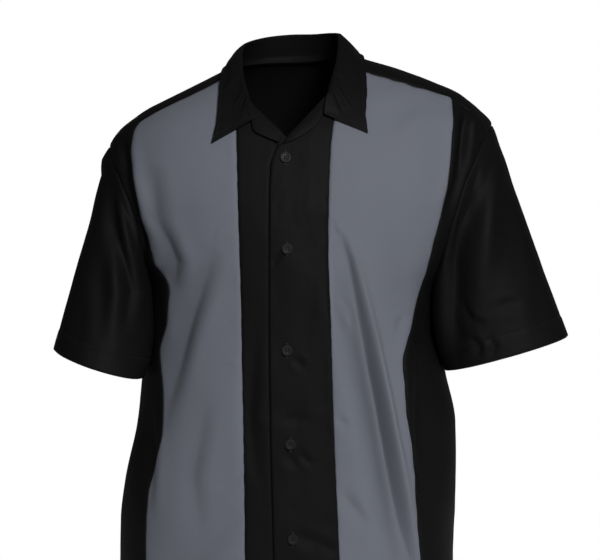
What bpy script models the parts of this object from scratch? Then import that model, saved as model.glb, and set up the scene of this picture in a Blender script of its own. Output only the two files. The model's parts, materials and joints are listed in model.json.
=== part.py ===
"""Bowling shirt in its worn, hollow form: metres, +Z up, the front faces -Y.

The origin lies on the base of the neck, midway between the two shoulder seams.
Left and right are the wearer's own, so the wearer's left is at +X.
"""

import math

import bpy
from mathutils import Matrix, Vector

# --- Driving dimensions ---------------------------------------------------
CLOTH = 0.0012  # one layer of shirt cloth
SEAM_GAP = 0.0003  # clear space between two pieces at a seam
HEM_Z = -0.770  # straight bottom hem
ROUNDNESS = 2.2  # 2 is an ellipse, more is boxier
LEFT, RIGHT = 1, -1  # the wearer's left is +X

BLACK = (0.011, 0.011, 0.012, 1.0)
SLATE = (0.127, 0.136, 0.163, 1.0)
BUTTON_BLACK = (0.018, 0.018, 0.019, 1.0)

# Half-widths of the body against height, with each shoulder's slope as the upper rows.
LEFT_OUTLINE = (  # (z, half_width)
    (0.030, 0.000), (0.021, 0.046), (0.008, 0.084), (-0.007, 0.134), (-0.029, 0.191),
    (-0.038, 0.209), (-0.053, 0.227), (-0.074, 0.244), (-0.110, 0.245), (-0.150, 0.236),
    (-0.190, 0.220), (-0.230, 0.197), (-0.277, 0.173), (-0.320, 0.175), (-0.370, 0.187),
    (-0.430, 0.198), (-0.500, 0.199), (-0.590, 0.196), (-0.680, 0.197), (-0.790, 0.200),
)
RIGHT_OUTLINE = (
    (0.030, 0.000), (0.008, 0.046), (-0.007, 0.0756), (-0.031, 0.1236), (-0.055, 0.170),
    (-0.062, 0.181), (-0.079, 0.203), (-0.100, 0.216), (-0.125, 0.221), (-0.151, 0.218),
    (-0.187, 0.205), (-0.223, 0.190), (-0.271, 0.167), (-0.320, 0.170), (-0.370, 0.175),
    (-0.430, 0.182), (-0.500, 0.196), (-0.547, 0.201), (-0.680, 0.203), (-0.790, 0.205),
)
# Depths in front of and behind the shoulder line against height.
SIDE_OUTLINE = (  # (z, front_depth, back_depth)
    (0.030, 0.000, 0.000), (0.014, 0.028, 0.038), (0.000, 0.050, 0.064),
    (-0.018, 0.069, 0.080), (-0.046, 0.090, 0.097), (-0.092, 0.113, 0.115),
    (-0.140, 0.127, 0.124), (-0.185, 0.135, 0.129), (-0.240, 0.139, 0.131),
    (-0.320, 0.141, 0.127), (-0.460, 0.147, 0.124), (-0.600, 0.150, 0.128),
    (-0.790, 0.152, 0.134),
)

# Seams that run down the front, as x against height.
LEFT_INSERT_INNER = (  # (z, x)
    (-0.004, 0.0680), (-0.036, 0.0590), (-0.068, 0.0540), (-0.100, 0.0500), (-0.163, 0.0474),
    (-0.223, 0.0468), (-0.313, 0.0490), (-0.403, 0.0520), (-0.499, 0.0560), (-0.589, 0.0600),
    (-0.790, 0.0680),
)
LEFT_INSERT_OUTER = (
    (-0.042, 0.1940), (-0.061, 0.1950), (-0.088, 0.1930), (-0.109, 0.1910), (-0.150, 0.1870),
    (-0.181, 0.1810), (-0.211, 0.1730), (-0.272, 0.1570), (-0.307, 0.1480), (-0.337, 0.1380),
    (-0.358, 0.1340), (-0.385, 0.1360), (-0.415, 0.1375), (-0.457, 0.1440), (-0.505, 0.1495),
    (-0.547, 0.1540), (-0.587, 0.1555), (-0.680, 0.1580), (-0.790, 0.1620),
)
RIGHT_INSERT_INNER = (
    (-0.014, -0.0690), (-0.045, -0.0650), (-0.079, -0.0630), (-0.169, -0.0606), (-0.283, -0.0570),
    (-0.403, -0.0550), (-0.499, -0.0530), (-0.589, -0.0520), (-0.790, -0.0490),
)
RIGHT_INSERT_OUTER = (
    (-0.071, -0.1790), (-0.083, -0.1850), (-0.106, -0.1880), (-0.121, -0.1870), (-0.155, -0.1810),
    (-0.175, -0.1790), (-0.211, -0.1700), (-0.238, -0.1610), (-0.271, -0.1440), (-0.310, -0.1490),
    (-0.346, -0.1570), (-0.403, -0.1530), (-0.442, -0.1500), (-0.481, -0.1610), (-0.511, -0.1680),
    (-0.559, -0.1690), (-0.680, -0.1710), (-0.790, -0.1740),
)
# Free front edges. The left front lies on top and shows its edge; the right one ends under it.
LEFT_FRONT_EDGE = (
    (-0.107, -0.0150), (-0.128, -0.0220), (-0.283, -0.0224), (-0.415, -0.0210),
    (-0.547, -0.0180), (-0.680, -0.0140), (-0.790, -0.0110),
)
RIGHT_FRONT_EDGE = (
    (-0.107, 0.0110), (-0.128, 0.0180), (-0.283, 0.0180), (-0.415, 0.0195),
    (-0.547, 0.0220), (-0.680, 0.0255), (-0.790, 0.0280),
)
V_POINT = (-0.0017, -0.0906)  # where the two turned-back edges cross, as (x, z)
NOTCH = {LEFT: (0.0455, -0.0400), RIGHT: (-0.0455, -0.0490)}  # where collar and lapel meet
OVERLAP_LIFT = 0.0022  # the left front rides this far out over the right one

# Armholes: an oval on the body, from the shoulder down to the underarm.
ARMHOLE = {  # (top_z, bottom_z, reach to the front and to the back)
    LEFT: (-0.074, -0.277, 0.070),
    RIGHT: (-0.100, -0.271, 0.068),
}
YOKE_FRONT_TURN = math.radians(24)  # where the front yoke seam meets the armhole
YOKE_BACK_TURN = math.radians(-52)  # where the back yoke seam does

# The largest folds: a trough or ridge along a line on the front or back.
FOLDS = (  # (face, x0, z0, x1, z1, half_width, depth; a ridge is positive)
    (-1, 0.065, -0.205, 0.151, -0.582, 0.016, -0.0080),
    (-1, 0.100, -0.205, 0.176, -0.582, 0.018, 0.0040),
    (-1, -0.078, -0.210, -0.147, -0.432, 0.016, -0.0080),
    (-1, -0.102, -0.205, -0.168, -0.400, 0.014, 0.0045),
    (-1, -0.151, -0.180, -0.134, -0.265, 0.014, -0.0060),
    (1, 0.110, -0.230, 0.060, -0.700, 0.026, -0.0060),
    (1, -0.115, -0.260, -0.050, -0.720, 0.026, -0.0070),
    (1, 0.020, -0.300, -0.010, -0.720, 0.030, 0.0050),
)

# Sleeve openings: outer and inner point of the hem ring, its reach to the front, its front drop.
SLEEVE_HEM = {
    LEFT: (Vector((0.333, -0.024, -0.324)), Vector((0.2010, -0.020, -0.368)), 0.058, 0.006),
    RIGHT: (Vector((-0.280, -0.062, -0.343)), Vector((-0.182, -0.066, -0.379)), 0.060, 0.012),
}
SLEEVE_START = 0.0027  # the sleeve lies this far out over the body at its armhole
SLEEVE_FOLDS = {  # (turn in degrees at the armhole, turn at the hem, half_width in degrees, depth)
    LEFT: ((52, 70, 14, -0.006), (96, 112, 12, 0.006), (250, 262, 18, -0.006)),
    RIGHT: ((58, 84, 12, -0.006), (92, 116, 12, 0.007), (255, 268, 18, -0.006)),
}

# Collar stations from the front end to the middle of the back: the roll line on top, then the
# leaf's outer edge. (x, y, z) each; the leaf's tip is the third row.
COLLAR_FOLD = 0.0030  # radius of the roll at the top of the collar
COLLAR_STATIONS = {
    LEFT: (  # (seam, roll, edge)
        ((0.0443, -0.0860, -0.0392), (0.0462, -0.0930, -0.0369), (0.0416, -0.1070, -0.0619)),
        ((0.0480, -0.0800, -0.0332), (0.0486, -0.0880, -0.0309), (0.0672, -0.1080, -0.0738)),
        ((0.0517, -0.0725, -0.0263), (0.0510, -0.0800, -0.0231), (0.0928, -0.1060, -0.0848)),
        ((0.0591, -0.0600, -0.0152), (0.0546, -0.0660, -0.0092), (0.0919, -0.0930, -0.0576)),
        ((0.0646, -0.0440, -0.0032), (0.0576, -0.0490, 0.0037), (0.0915, -0.0740, -0.0295)),
        ((0.0683, -0.0240, 0.0078), (0.0600, -0.0270, 0.0212), (0.0906, -0.0440, -0.0046)),
        ((0.0692, 0.0000, 0.0120), (0.0605, 0.0000, 0.0351), (0.0877, 0.0000, 0.0111)),
        ((0.0591, 0.0320, 0.0120), (0.0517, 0.0260, 0.0378), (0.0766, 0.0500, 0.0092)),
        ((0.0323, 0.0520, 0.0102), (0.0295, 0.0460, 0.0369), (0.0434, 0.0800, 0.0000)),
    ),
    RIGHT: (
        ((-0.0443, -0.0900, -0.0489), (-0.0462, -0.0970, -0.0462), (-0.0408, -0.1090, -0.0668)),
        ((-0.0480, -0.0840, -0.0434), (-0.0486, -0.0920, -0.0406), (-0.0660, -0.1110, -0.0828)),
        ((-0.0517, -0.0765, -0.0369), (-0.0510, -0.0845, -0.0332), (-0.0905, -0.1070, -0.0978)),
        ((-0.0582, -0.0640, -0.0268), (-0.0540, -0.0705, -0.0203), (-0.0856, -0.0960, -0.0668)),
        ((-0.0628, -0.0470, -0.0157), (-0.0559, -0.0530, -0.0074), (-0.0831, -0.0770, -0.0406)),
        ((-0.0646, -0.0250, -0.0055), (-0.0570, -0.0290, 0.0074), (-0.0812, -0.0450, -0.0175)),
        ((-0.0646, 0.0000, -0.0009), (-0.0572, 0.0000, 0.0185), (-0.0766, 0.0000, -0.0018)),
        ((-0.0554, 0.0320, 0.0028), (-0.0489, 0.0260, 0.0268), (-0.0692, 0.0500, -0.0028)),
        ((-0.0305, 0.0520, 0.0074), (-0.0277, 0.0460, 0.0332), (-0.0397, 0.0800, -0.0046)),
    ),
}
COLLAR_BACK = ((0.0009, 0.0580, 0.0097), (0.0009, 0.0520, 0.0365), (0.0018, 0.0870, -0.0028))

# Lapels: the outer edge of each turned-back front, as (x, z) from the notch to the lower end.
LAPEL_EDGE = {
    LEFT: ((0.0400, -0.0575), (0.0380, -0.0680), (0.0300, -0.0800), (0.0100, -0.0930), (-0.0060, -0.0995)),
    RIGHT: ((-0.0440, -0.0560), (-0.0440, -0.0680), (-0.0415, -0.0830), (-0.0260, -0.0915), (-0.0120, -0.0970)),
}
LAPEL_LIFT = {LEFT: (0.0044, 0.0054), RIGHT: (0.0022, 0.0036)}  # off the body at the roll and edge

BUTTON_RADIUS = 0.0063
BUTTON_THICKNESS = 0.0026
BUTTON_RIM = 0.0011
BUTTON_HOLE = 0.00085
BUTTON_PITCH = 0.0026
BUTTON_STANDOFF = 0.0006
BUTTONS = (  # (x, z)
    (-0.0040, -0.1150), (-0.0020, -0.2230), (-0.0020, -0.3430), (0.0020, -0.4540),
    (0.0050, -0.5660), (0.0085, -0.6780),
)


# --- Smooth curves through the tables -------------------------------------
def eased(table, at, column=1):
    """The table's column at a height, on a curve that never overshoots its rows."""
    rows = sorted((row[0], row[column]) for row in table)
    at = min(max(at, rows[0][0]), rows[-1][0])
    i = max(k for k in range(len(rows) - 1) if rows[k][0] <= at)
    gap = [b[0] - a[0] for a, b in zip(rows, rows[1:])]
    rise = [(b[1] - a[1]) / g for a, b, g in zip(rows, rows[1:], gap)]

    def slope(k):
        if k in (0, len(rows) - 1) or rise[k - 1] * rise[k] <= 0:
            return rise[min(k, len(rise) - 1)] if k in (0, len(rows) - 1) else 0.0
        return 2 * rise[k - 1] * rise[k] / (rise[k - 1] + rise[k])

    t = (at - rows[i][0]) / gap[i]
    a, b = rows[i][1], rows[i + 1][1]
    m0, m1 = slope(i) * gap[i], slope(i + 1) * gap[i]
    return (a * (1 + 2 * t) + m0 * t) * (1 - t) ** 2 + (b * (3 - 2 * t) - m1 * (1 - t)) * t * t


def spline(points, t):
    """A point on the smooth curve through the points, t from 0 to 1."""
    points = [Vector(p) for p in points]
    place = min(max(t, 0.0), 1.0) * (len(points) - 1)
    i = min(int(place), len(points) - 2)
    f = place - i
    p1, p2 = points[i], points[i + 1]
    p0 = points[i - 1] if i else p1 * 2 - p2
    p3 = points[i + 2] if i + 2 < len(points) else p2 * 2 - p1
    return (p1 * 2 + (p2 - p0) * f + (p0 * 2 - p1 * 5 + p2 * 4 - p3) * f * f
            + (p1 * 3 - p0 - p2 * 3 + p3) * f * f * f) / 2


def bump(distance, half_width):
    return math.exp(-((distance / half_width) ** 2))


# --- The body's form ------------------------------------------------------
def half_width(side, z):
    return eased(LEFT_OUTLINE if side > 0 else RIGHT_OUTLINE, z)


def depth(face, z):
    return eased(SIDE_OUTLINE, z, 1 if face < 0 else 2)


def body_at(face, turn, z):
    """A point of the form: turn runs from -1 to 1 across the front (face -1) or back (face 1)."""
    side = 1 if turn >= 0 else -1
    angle = min(abs(turn), 1.0) * math.pi / 2
    return Vector((
        side * half_width(side, z) * math.sin(angle) ** (2 / ROUNDNESS),
        face * depth(face, z) * max(math.cos(angle), 0.0) ** (2 / ROUNDNESS),
        z,
    ))


def turn_of_x(x, z):
    side = 1 if x >= 0 else -1
    share = min(abs(x) / half_width(side, z), 1.0)
    return side * math.asin(share ** (ROUNDNESS / 2)) / (math.pi / 2)


def turn_of_y(side, face, y, z):
    share = min(abs(y) / depth(face, z), 1.0)
    return side * math.acos(share ** (ROUNDNESS / 2)) / (math.pi / 2)


def fullness(p):
    """1 on the form, under 1 inside it and over 1 outside."""
    side = 1 if p.x >= 0 else -1
    face = -1 if p.y < 0 else 1
    wide, deep = half_width(side, p.z), depth(face, p.z)
    if wide <= 1e-6 or deep <= 1e-6:
        return 9.0
    return (abs(p.x) / wide) ** ROUNDNESS + (abs(p.y) / deep) ** ROUNDNESS


def normal_at(p, step=0.0006):
    slope = Vector([
        fullness(p + axis * step) - fullness(p - axis * step)
        for axis in (Vector((1, 0, 0)), Vector((0, 1, 0)), Vector((0, 0, 1)))
    ])
    return slope.normalized()


def on_form(p):
    """The point of the form on the line from the middle of the chest through p."""
    middle = Vector((0.0, 0.0, -0.16))
    near, far = 0.0, 3.0
    for _ in range(36):
        half = (near + far) / 2
        if fullness(middle + (p - middle) * half) > 1:
            far = half
        else:
            near = half
    return middle + (p - middle) * near


def clear_of_body(p, gap):
    """The point moved straight out, if need be, until it stands the gap off the form."""
    for _ in range(6):
        foot = on_form(p)
        out = normal_at(foot)
        short = gap - (p - foot).dot(out)
        if short <= 0.00002:
            break
        p = p + out * short
    return p


def fold_push(p):
    """How far the largest folds move the cloth out at p."""
    push = 0.0
    for face, x0, z0, x1, z1, wide, deep in FOLDS:
        if p.y * face < 0:
            continue
        along = Vector((x1 - x0, z1 - z0))
        offset = Vector((p.x - x0, p.z - z0))
        t = offset.dot(along) / along.length_squared
        across = abs(offset.x * along.y - offset.y * along.x) / along.length
        if -0.05 < t < 1.05:
            swell = math.sin(math.pi * min(max(t * 0.92 + 0.04, 0.0), 1.0)) ** 0.6
            push += deep * swell * bump(across, wide)
    return push * min(1.0, abs(p.y) / 0.04)


def cloth_at(p, lift=0.0):
    return p + normal_at(p) * (lift + fold_push(p))


def armhole_at(side, angle):
    """A point of the armhole: angle 0 is the shoulder, a quarter turn on is the front."""
    top, bottom, reach = ARMHOLE[side]
    z = (top + bottom) / 2 + (top - bottom) / 2 * math.cos(angle)
    face = -1 if math.sin(angle) >= 0 else 1
    return body_at(face, turn_of_y(side, face, reach * abs(math.sin(angle)), z), z)


# --- Building a piece -----------------------------------------------------
def material(name, colour, roughness):
    made = bpy.data.materials.get(name)
    if made is None:
        made = bpy.data.materials.new(name)
        made.use_nodes = True
        shader = made.node_tree.nodes["Principled BSDF"]
        shader.inputs["Base Color"].default_value = colour
        shader.inputs["Roughness"].default_value = roughness
        shader.inputs["Metallic"].default_value = 0.0
    return made


def cloth_piece(name, rows, finish, closed=False, thickness=CLOTH, outward=1.0):
    """A wall of cloth on rows of points. Its outside is to the right of each row, seen upwards."""
    count = len(rows[0])
    points = [p for row in rows for p in row]
    last = count if closed else count - 1
    faces = [
        (r * count + c, r * count + (c + 1) % count, (r + 1) * count + (c + 1) % count, (r + 1) * count + c)
        for r in range(len(rows) - 1)
        for c in range(last)
    ]
    mesh = bpy.data.meshes.new(name)
    mesh.from_pydata(points, [], faces)
    mesh.materials.append(finish)
    piece = bpy.data.objects.new(name, mesh)
    bpy.data.collections["bowling_shirt"].objects.link(piece)
    wall = piece.modifiers.new("cloth", "SOLIDIFY")
    wall.thickness = thickness
    wall.offset = outward
    wall.use_even_offset = False
    mesh.shade_smooth()
    return piece


def patch(left, right, columns, lift=lambda p: 0.0):
    """Rows of cloth between two seams, given as lists of (face, turn, z) from hem to top."""
    rows = []
    for (face, turn0, z0), (_, turn1, z1) in zip(left, right):
        row = []
        for c in range(columns + 1):
            r = c / columns
            p = body_at(face, turn0 + (turn1 - turn0) * r, z0 + (z1 - z0) * r)
            row.append(cloth_at(p, lift(p)))
        # The half gap on each side keeps neighbouring pieces apart.
        length = sum((b - a).length for a, b in zip(row, row[1:]))
        trim = (SEAM_GAP / 2 + 0.0001) / (length / columns)
        row[0] = row[0].lerp(row[1], trim)
        row[-1] = row[-1].lerp(row[-2], trim)
        rows.append(row)
    trimmed = rows[-2][0].lerp(rows[-1][0], 0.5) - rows[-2][0]
    step = max(trimmed.length * 2, 0.002)
    rows[-1] = [top.lerp(below, SEAM_GAP / step) for top, below in zip(rows[-1], rows[-2])]
    return rows


def heights(bottom, top, steps):
    return [bottom + (top - bottom) * i / steps for i in range(steps + 1)]


def on_front(table, zs):
    return [(-1, turn_of_x(eased(table, z), z), z) for z in zs]


LOW_ROWS, HIGH_ROWS = 11, 8  # rows of cloth below and above the underarm
INSERT_COLUMNS, SIDE_COLUMNS, BACK_COLUMNS = 6, 3, 16


def inner_rail(side):
    """The seam between a centre front and its insert, from the hem to the yoke."""
    table = LEFT_INSERT_INNER if side > 0 else RIGHT_INSERT_INNER
    under = ARMHOLE[side][1]
    low = heights(HEM_Z, under, LOW_ROWS)[:-1]
    return on_front(table, low + heights(under, table[0][0], HIGH_ROWS))


def outer_rail(side):
    """The seam between an insert and its side piece, from the hem to the yoke."""
    table = LEFT_INSERT_OUTER if side > 0 else RIGHT_INSERT_OUTER
    under = ARMHOLE[side][1]
    low = heights(HEM_Z, under, LOW_ROWS)[:-1]
    return on_front(table, low + heights(under, table[0][0], HIGH_ROWS))


def front_insert(side, finish):
    left, right = (inner_rail(side), outer_rail(side))[::side]
    name = "front_left_insert" if side > 0 else "front_right_insert"
    return cloth_piece(name, patch(left, right, INSERT_COLUMNS), finish)


def armhole_turn(side, angle):
    p = armhole_at(side, angle)
    return min(abs(turn_of_x(p.x, p.z)), 0.9985) * side, p.z


def front_side(side, finish):
    inside = outer_rail(side)
    outside = [(-1, side * 0.9985, z) for _, _, z in inside[:LOW_ROWS]]
    for i in range(HIGH_ROWS + 1):
        angle = math.pi - (math.pi - YOKE_FRONT_TURN) * i / HIGH_ROWS
        outside.append((-1, *armhole_turn(side, angle)))
    left, right = (inside, outside)[::side]
    name = "front_left_side" if side > 0 else "front_right_side"
    return cloth_piece(name, patch(left, right, SIDE_COLUMNS), finish)


def front_centre(side, finish):
    """A front beside the buttons, from its free edge to the insert, with its neckline on top."""
    outside = inner_rail(side)[:-1]
    edge = LEFT_FRONT_EDGE if side > 0 else RIGHT_FRONT_EDGE
    notch = NOTCH[side]
    under = ARMHOLE[side][1]
    inside = on_front(edge, [z for _, _, z in outside[:LOW_ROWS]])
    path = [(eased(edge, z), z) for z in (under, -0.200, -0.150, -0.120, -0.105)]
    path.append(V_POINT)
    path += [(V_POINT[0] + (notch[0] - V_POINT[0]) * r, V_POINT[1] + (notch[1] - V_POINT[1]) * r)
             for r in (0.5, 1.0)]
    for i in range(HIGH_ROWS):
        place = i / (HIGH_ROWS - 1) * (len(path) - 1)
        whole = min(int(place), len(path) - 2)
        x, z = (a + (b - a) * (place - whole) for a, b in zip(path[whole], path[whole + 1]))
        inside.append((-1, turn_of_x(x, z), z))
    left, right = (inside, outside)[::side]

    def lift(p):
        if side < 0:
            return 0.0
        ramp = min(max((0.044 - p.x) / 0.020, 0.0), 1.0)
        return OVERLAP_LIFT * ramp * ramp * (3 - 2 * ramp)

    name = "front_left_centre" if side > 0 else "front_right_centre"
    return cloth_piece(name, patch(left, right, 5, lift), finish)


def back(finish):
    sides = {}
    for side in (LEFT, RIGHT):
        under = ARMHOLE[side][1]
        rail = [(1, side * 0.9985, z) for z in heights(HEM_Z, under, LOW_ROWS)[:-1]]
        for i in range(HIGH_ROWS - 1):
            angle = -math.pi + (math.pi + YOKE_BACK_TURN) * i / (HIGH_ROWS - 2)
            rail.append((1, *armhole_turn(side, angle)))
        sides[side] = rail
    # Seen from behind, the wearer's left is on the left.
    return cloth_piece("back", patch(sides[LEFT], sides[RIGHT], BACK_COLUMNS), finish)


def front_yoke_seam(side):
    """The seam's points from the armhole to the neck, one for each column of the fronts."""
    inner = inner_rail(side)[-1]
    outer = outer_rail(side)[-1]
    arm = (-1, *armhole_turn(side, YOKE_FRONT_TURN))
    points = []
    for (_, turn0, z0), (_, turn1, z1), columns in ((arm, outer, SIDE_COLUMNS), (outer, inner, INSERT_COLUMNS)):
        for c in range(columns + 1):
            r = c / columns
            points.append(body_at(-1, turn0 + (turn1 - turn0) * r, z0 + (z1 - z0) * r))
    return points[:SIDE_COLUMNS] + points[SIDE_COLUMNS + 1:]


def yoke(finish):
    """One piece over both shoulders, from the front seams to the seam across the back."""
    shoulder, across = 6, BACK_COLUMNS // 2
    steps = INSERT_COLUMNS + SIDE_COLUMNS
    halves = []
    for side in (LEFT, RIGHT):
        seam = front_yoke_seam(side)
        share = [sum((b - a).length for a, b in zip(seam[:k + 1], seam[1:k + 1])) for k in range(steps + 1)]
        share = [v / share[-1] for v in share]
        neck = [seam[-1]] + [on_form(Vector(s[0])) for s in COLLAR_STATIONS[side][5:]]
        neck.append(on_form(Vector(COLLAR_BACK[0])))
        arm = armhole_turn(side, YOKE_BACK_TURN)
        other = armhole_turn(-side, YOKE_BACK_TURN)
        half = [seam]
        for i in range(1, shoulder + across + 1):
            if i <= shoulder:
                rim = armhole_at(side, YOKE_FRONT_TURN + (YOKE_BACK_TURN - YOKE_FRONT_TURN) * i / shoulder)
                ring = spline(neck, 0.60 * i / shoulder)
            else:
                r = (i - shoulder) / across / 2
                rim = body_at(1, arm[0] + (other[0] - arm[0]) * r, arm[1] + (other[1] - arm[1]) * r)
                ring = spline(neck, 0.60 + 0.40 * (i - shoulder) / across)
            half.append([on_form(rim.lerp(ring, t)) for t in share])
        halves.append(half)
    rows = []
    for row in halves[0] + halves[1][-2::-1]:
        row = list(row)
        row[0] = row[0].lerp(row[1], 0.0012 / (row[1] - row[0]).length)
        row[-1] = row[-1].lerp(row[-2], 0.0014 / (row[-1] - row[-2]).length)
        rows.append(row)
    for i, j in ((0, 1), (-1, -2)):
        rows[i] = [a.lerp(b, 0.0006 / max((b - a).length, 0.001)) for a, b in zip(rows[i], rows[j])]
    return cloth_piece("yoke", rows, finish)


def sleeve(side, finish):
    outer, inner, reach, drop = SLEEVE_HEM[side]
    middle = (outer + inner) / 2
    towards = (outer - inner) / 2
    forward = Vector((0, -reach, -drop))
    around, along = 24, 8
    rows = []
    for k in range(along + 1):
        t = k / along
        row = []
        for i in range(around):
            angle = math.tau * i / around
            start = armhole_at(side, angle)
            end = middle + towards * math.cos(angle) + forward * math.sin(angle)
            p = start.lerp(end, t)
            centre = armhole_middle(side).lerp(middle, t)
            out = (p - centre).normalized()
            push = 0.0
            for turn0, turn1, wide, deep in SLEEVE_FOLDS[side]:
                away = math.degrees(angle) - (turn0 + (turn1 - turn0) * t)
                away = (away + 180) % 360 - 180
                push += deep * bump(away, wide) * math.sin(math.pi * min(t * 0.9 + 0.05, 1.0))
            row.append(clear_of_body(p + out * push, SLEEVE_START + 0.002 * min(t * 3, 1.0)))
        rows.append(row if side > 0 else row[::-1])
    name = "sleeve_left" if side > 0 else "sleeve_right"
    return cloth_piece(name, rows[::-1], finish, closed=True)


def armhole_middle(side):
    return sum((armhole_at(side, math.tau * i / 12) for i in range(12)), Vector()) / 12


def collar(finish):
    """One folded piece round the neck: up from the neckline, over the roll, down the leaf."""
    stations = list(COLLAR_STATIONS[LEFT]) + [COLLAR_BACK] + list(COLLAR_STATIONS[RIGHT])[::-1]
    between = 2
    sections = []
    for i in range((len(stations) - 1) * between + 1):
        whole, part = divmod(i, between)
        if part == 0:
            seam, roll, edge = (Vector(v) for v in stations[whole])
        else:
            t = i / ((len(stations) - 1) * between)
            seam, roll = (spline([s[k] for s in stations], t) for k in (0, 1))
            straight = whole < 3 or whole >= len(stations) - 4
            ends = Vector(stations[whole][2]), Vector(stations[whole + 1][2])
            edge = ends[0].lerp(ends[1], part / between) if straight else spline([s[2] for s in stations], t)
        fall = (edge - roll).normalized()
        rise = (roll - seam).normalized()
        out = (fall + Vector((0, 0, 0))).copy()
        out.z = 0
        out.normalize()
        top = roll
        stand_top = top - out * COLLAR_FOLD - rise * COLLAR_FOLD
        leaf_top = top + out * COLLAR_FOLD + fall * COLLAR_FOLD * 0.6
        section = [
            clear_of_body(seam, 0.0021),
            stand_top,
            top - out * COLLAR_FOLD * 0.5,
            top + out * COLLAR_FOLD * 0.5,
            leaf_top,
            leaf_top.lerp(edge, 0.33) + out * 0.0010,
            leaf_top.lerp(edge, 0.67) + out * 0.0010,
            edge,
        ]
        section[4:] = [clear_of_body(q, 0.0078) for q in section[4:]]
        sections.append(section)
    return cloth_piece("collar", sections, finish, outward=-1.0)


def lapel(side, finish):
    """The turned-back top of a front, lying on the front with its facing side out."""
    notch = NOTCH[side]
    steps, across = 6, 3
    rows = []
    for i in range(steps + 1):
        t = i / steps
        roll_x = notch[0] + (V_POINT[0] - notch[0]) * t * (0.97 if side > 0 else 0.88)
        roll_z = notch[1] + (V_POINT[1] - notch[1]) * t * (0.97 if side > 0 else 0.88)
        edge_x, edge_z = spline([(a, b, 0) for a, b in LAPEL_EDGE[side]], t)[:2]
        row = []
        for k in range(across + 1):
            r = k / across
            x, z = roll_x + (edge_x - roll_x) * r, roll_z + (edge_z - roll_z) * r
            p = body_at(-1, turn_of_x(x, z), z)
            near, far = LAPEL_LIFT[side]
            row.append(p + normal_at(p) * (near + (far - near) * r))
        rows.append(row if side < 0 else row[::-1])
    name = "lapel_left" if side > 0 else "lapel_right"
    return cloth_piece(name, rows, finish)


def button(number, x, z, finish):
    """A four-hole shirt button: a turned disc with a rim, its holes cut through."""
    profile = [
        (BUTTON_RADIUS - 0.0006, 0.0), (BUTTON_RADIUS, 0.0008), (BUTTON_RADIUS, 0.0020),
        (BUTTON_RADIUS - 0.0005, BUTTON_THICKNESS), (BUTTON_RADIUS - BUTTON_RIM, BUTTON_THICKNESS),
        (BUTTON_RADIUS - BUTTON_RIM - 0.0008, BUTTON_THICKNESS - 0.0008),
    ]
    points = [Vector((0, 0, 0))] + [Vector((r, 0, h)) for r, h in profile]
    points.append(Vector((0, 0, profile[-1][1])))
    mesh = bpy.data.meshes.new(f"button_{number}")
    mesh.from_pydata(points[::-1], [(i, i + 1) for i in range(len(points) - 1)], [])
    mesh.materials.append(finish)
    disc = bpy.data.objects.new(f"button_{number}", mesh)
    bpy.data.collections["bowling_shirt"].objects.link(disc)
    turn = disc.modifiers.new("turned", "SCREW")
    turn.axis, turn.steps, turn.render_steps = "Z", 16, 16
    turn.use_merge_vertices = True
    turn.merge_threshold = 0.00005
    cut = disc.modifiers.new("holes", "BOOLEAN")
    cut.operation, cut.operand_type = "DIFFERENCE", "COLLECTION"
    cut.collection = hole_cutters(number)
    base = body_at(-1, turn_of_x(x, z), z)
    base = cloth_at(base, OVERLAP_LIFT)
    out = normal_at(base)
    place = out.to_track_quat("Z", "Y").to_matrix().to_4x4()
    place.translation = base + out * (CLOTH + BUTTON_STANDOFF)
    disc.matrix_world = place
    for cutter in cut.collection.objects:
        cutter.matrix_world = place @ cutter.matrix_world
    return disc


def hole_cutters(number):
    group = bpy.data.collections.new(f"holes_{number}")
    bpy.data.collections["cutters"].children.link(group)
    for i in range(4):
        angle = math.pi / 4 + math.pi / 2 * i
        bpy.ops.mesh.primitive_cylinder_add(
            vertices=6, radius=BUTTON_HOLE, depth=BUTTON_THICKNESS * 3,
            location=(math.cos(angle) * BUTTON_PITCH / 2 * 1.35, math.sin(angle) * BUTTON_PITCH / 2 * 1.35, 0),
        )
        cutter = bpy.context.object
        cutter.name = f"hole_{number}_{i}"
        bpy.context.view_layer.update()
        for owner in list(cutter.users_collection):
            owner.objects.unlink(cutter)
        group.objects.link(cutter)
        cutter.hide_render = True
        cutter.display_type = "WIRE"
    return group


def main():
    for obj in list(bpy.data.objects):
        bpy.data.objects.remove(obj)
    for name in ("bowling_shirt", "cutters"):
        bpy.context.scene.collection.children.link(bpy.data.collections.new(name))
    black = material("black_cloth", BLACK, 0.62)
    slate = material("slate_cloth", SLATE, 0.66)
    plastic = material("button_plastic", BUTTON_BLACK, 0.32)
    back(black)
    yoke(black)
    collar(black)
    for side in (LEFT, RIGHT):
        front_centre(side, black)
        front_insert(side, slate)
        front_side(side, black)
        sleeve(side, black)
        lapel(side, black)
    for number, (x, z) in enumerate(BUTTONS, 1):
        button(number, x, z, plastic)


main()
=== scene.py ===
import json
import math

import bmesh
import bpy
import numpy as np
from mathutils import Matrix, Vector, noise
from mathutils.bvhtree import BVHTree

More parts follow.
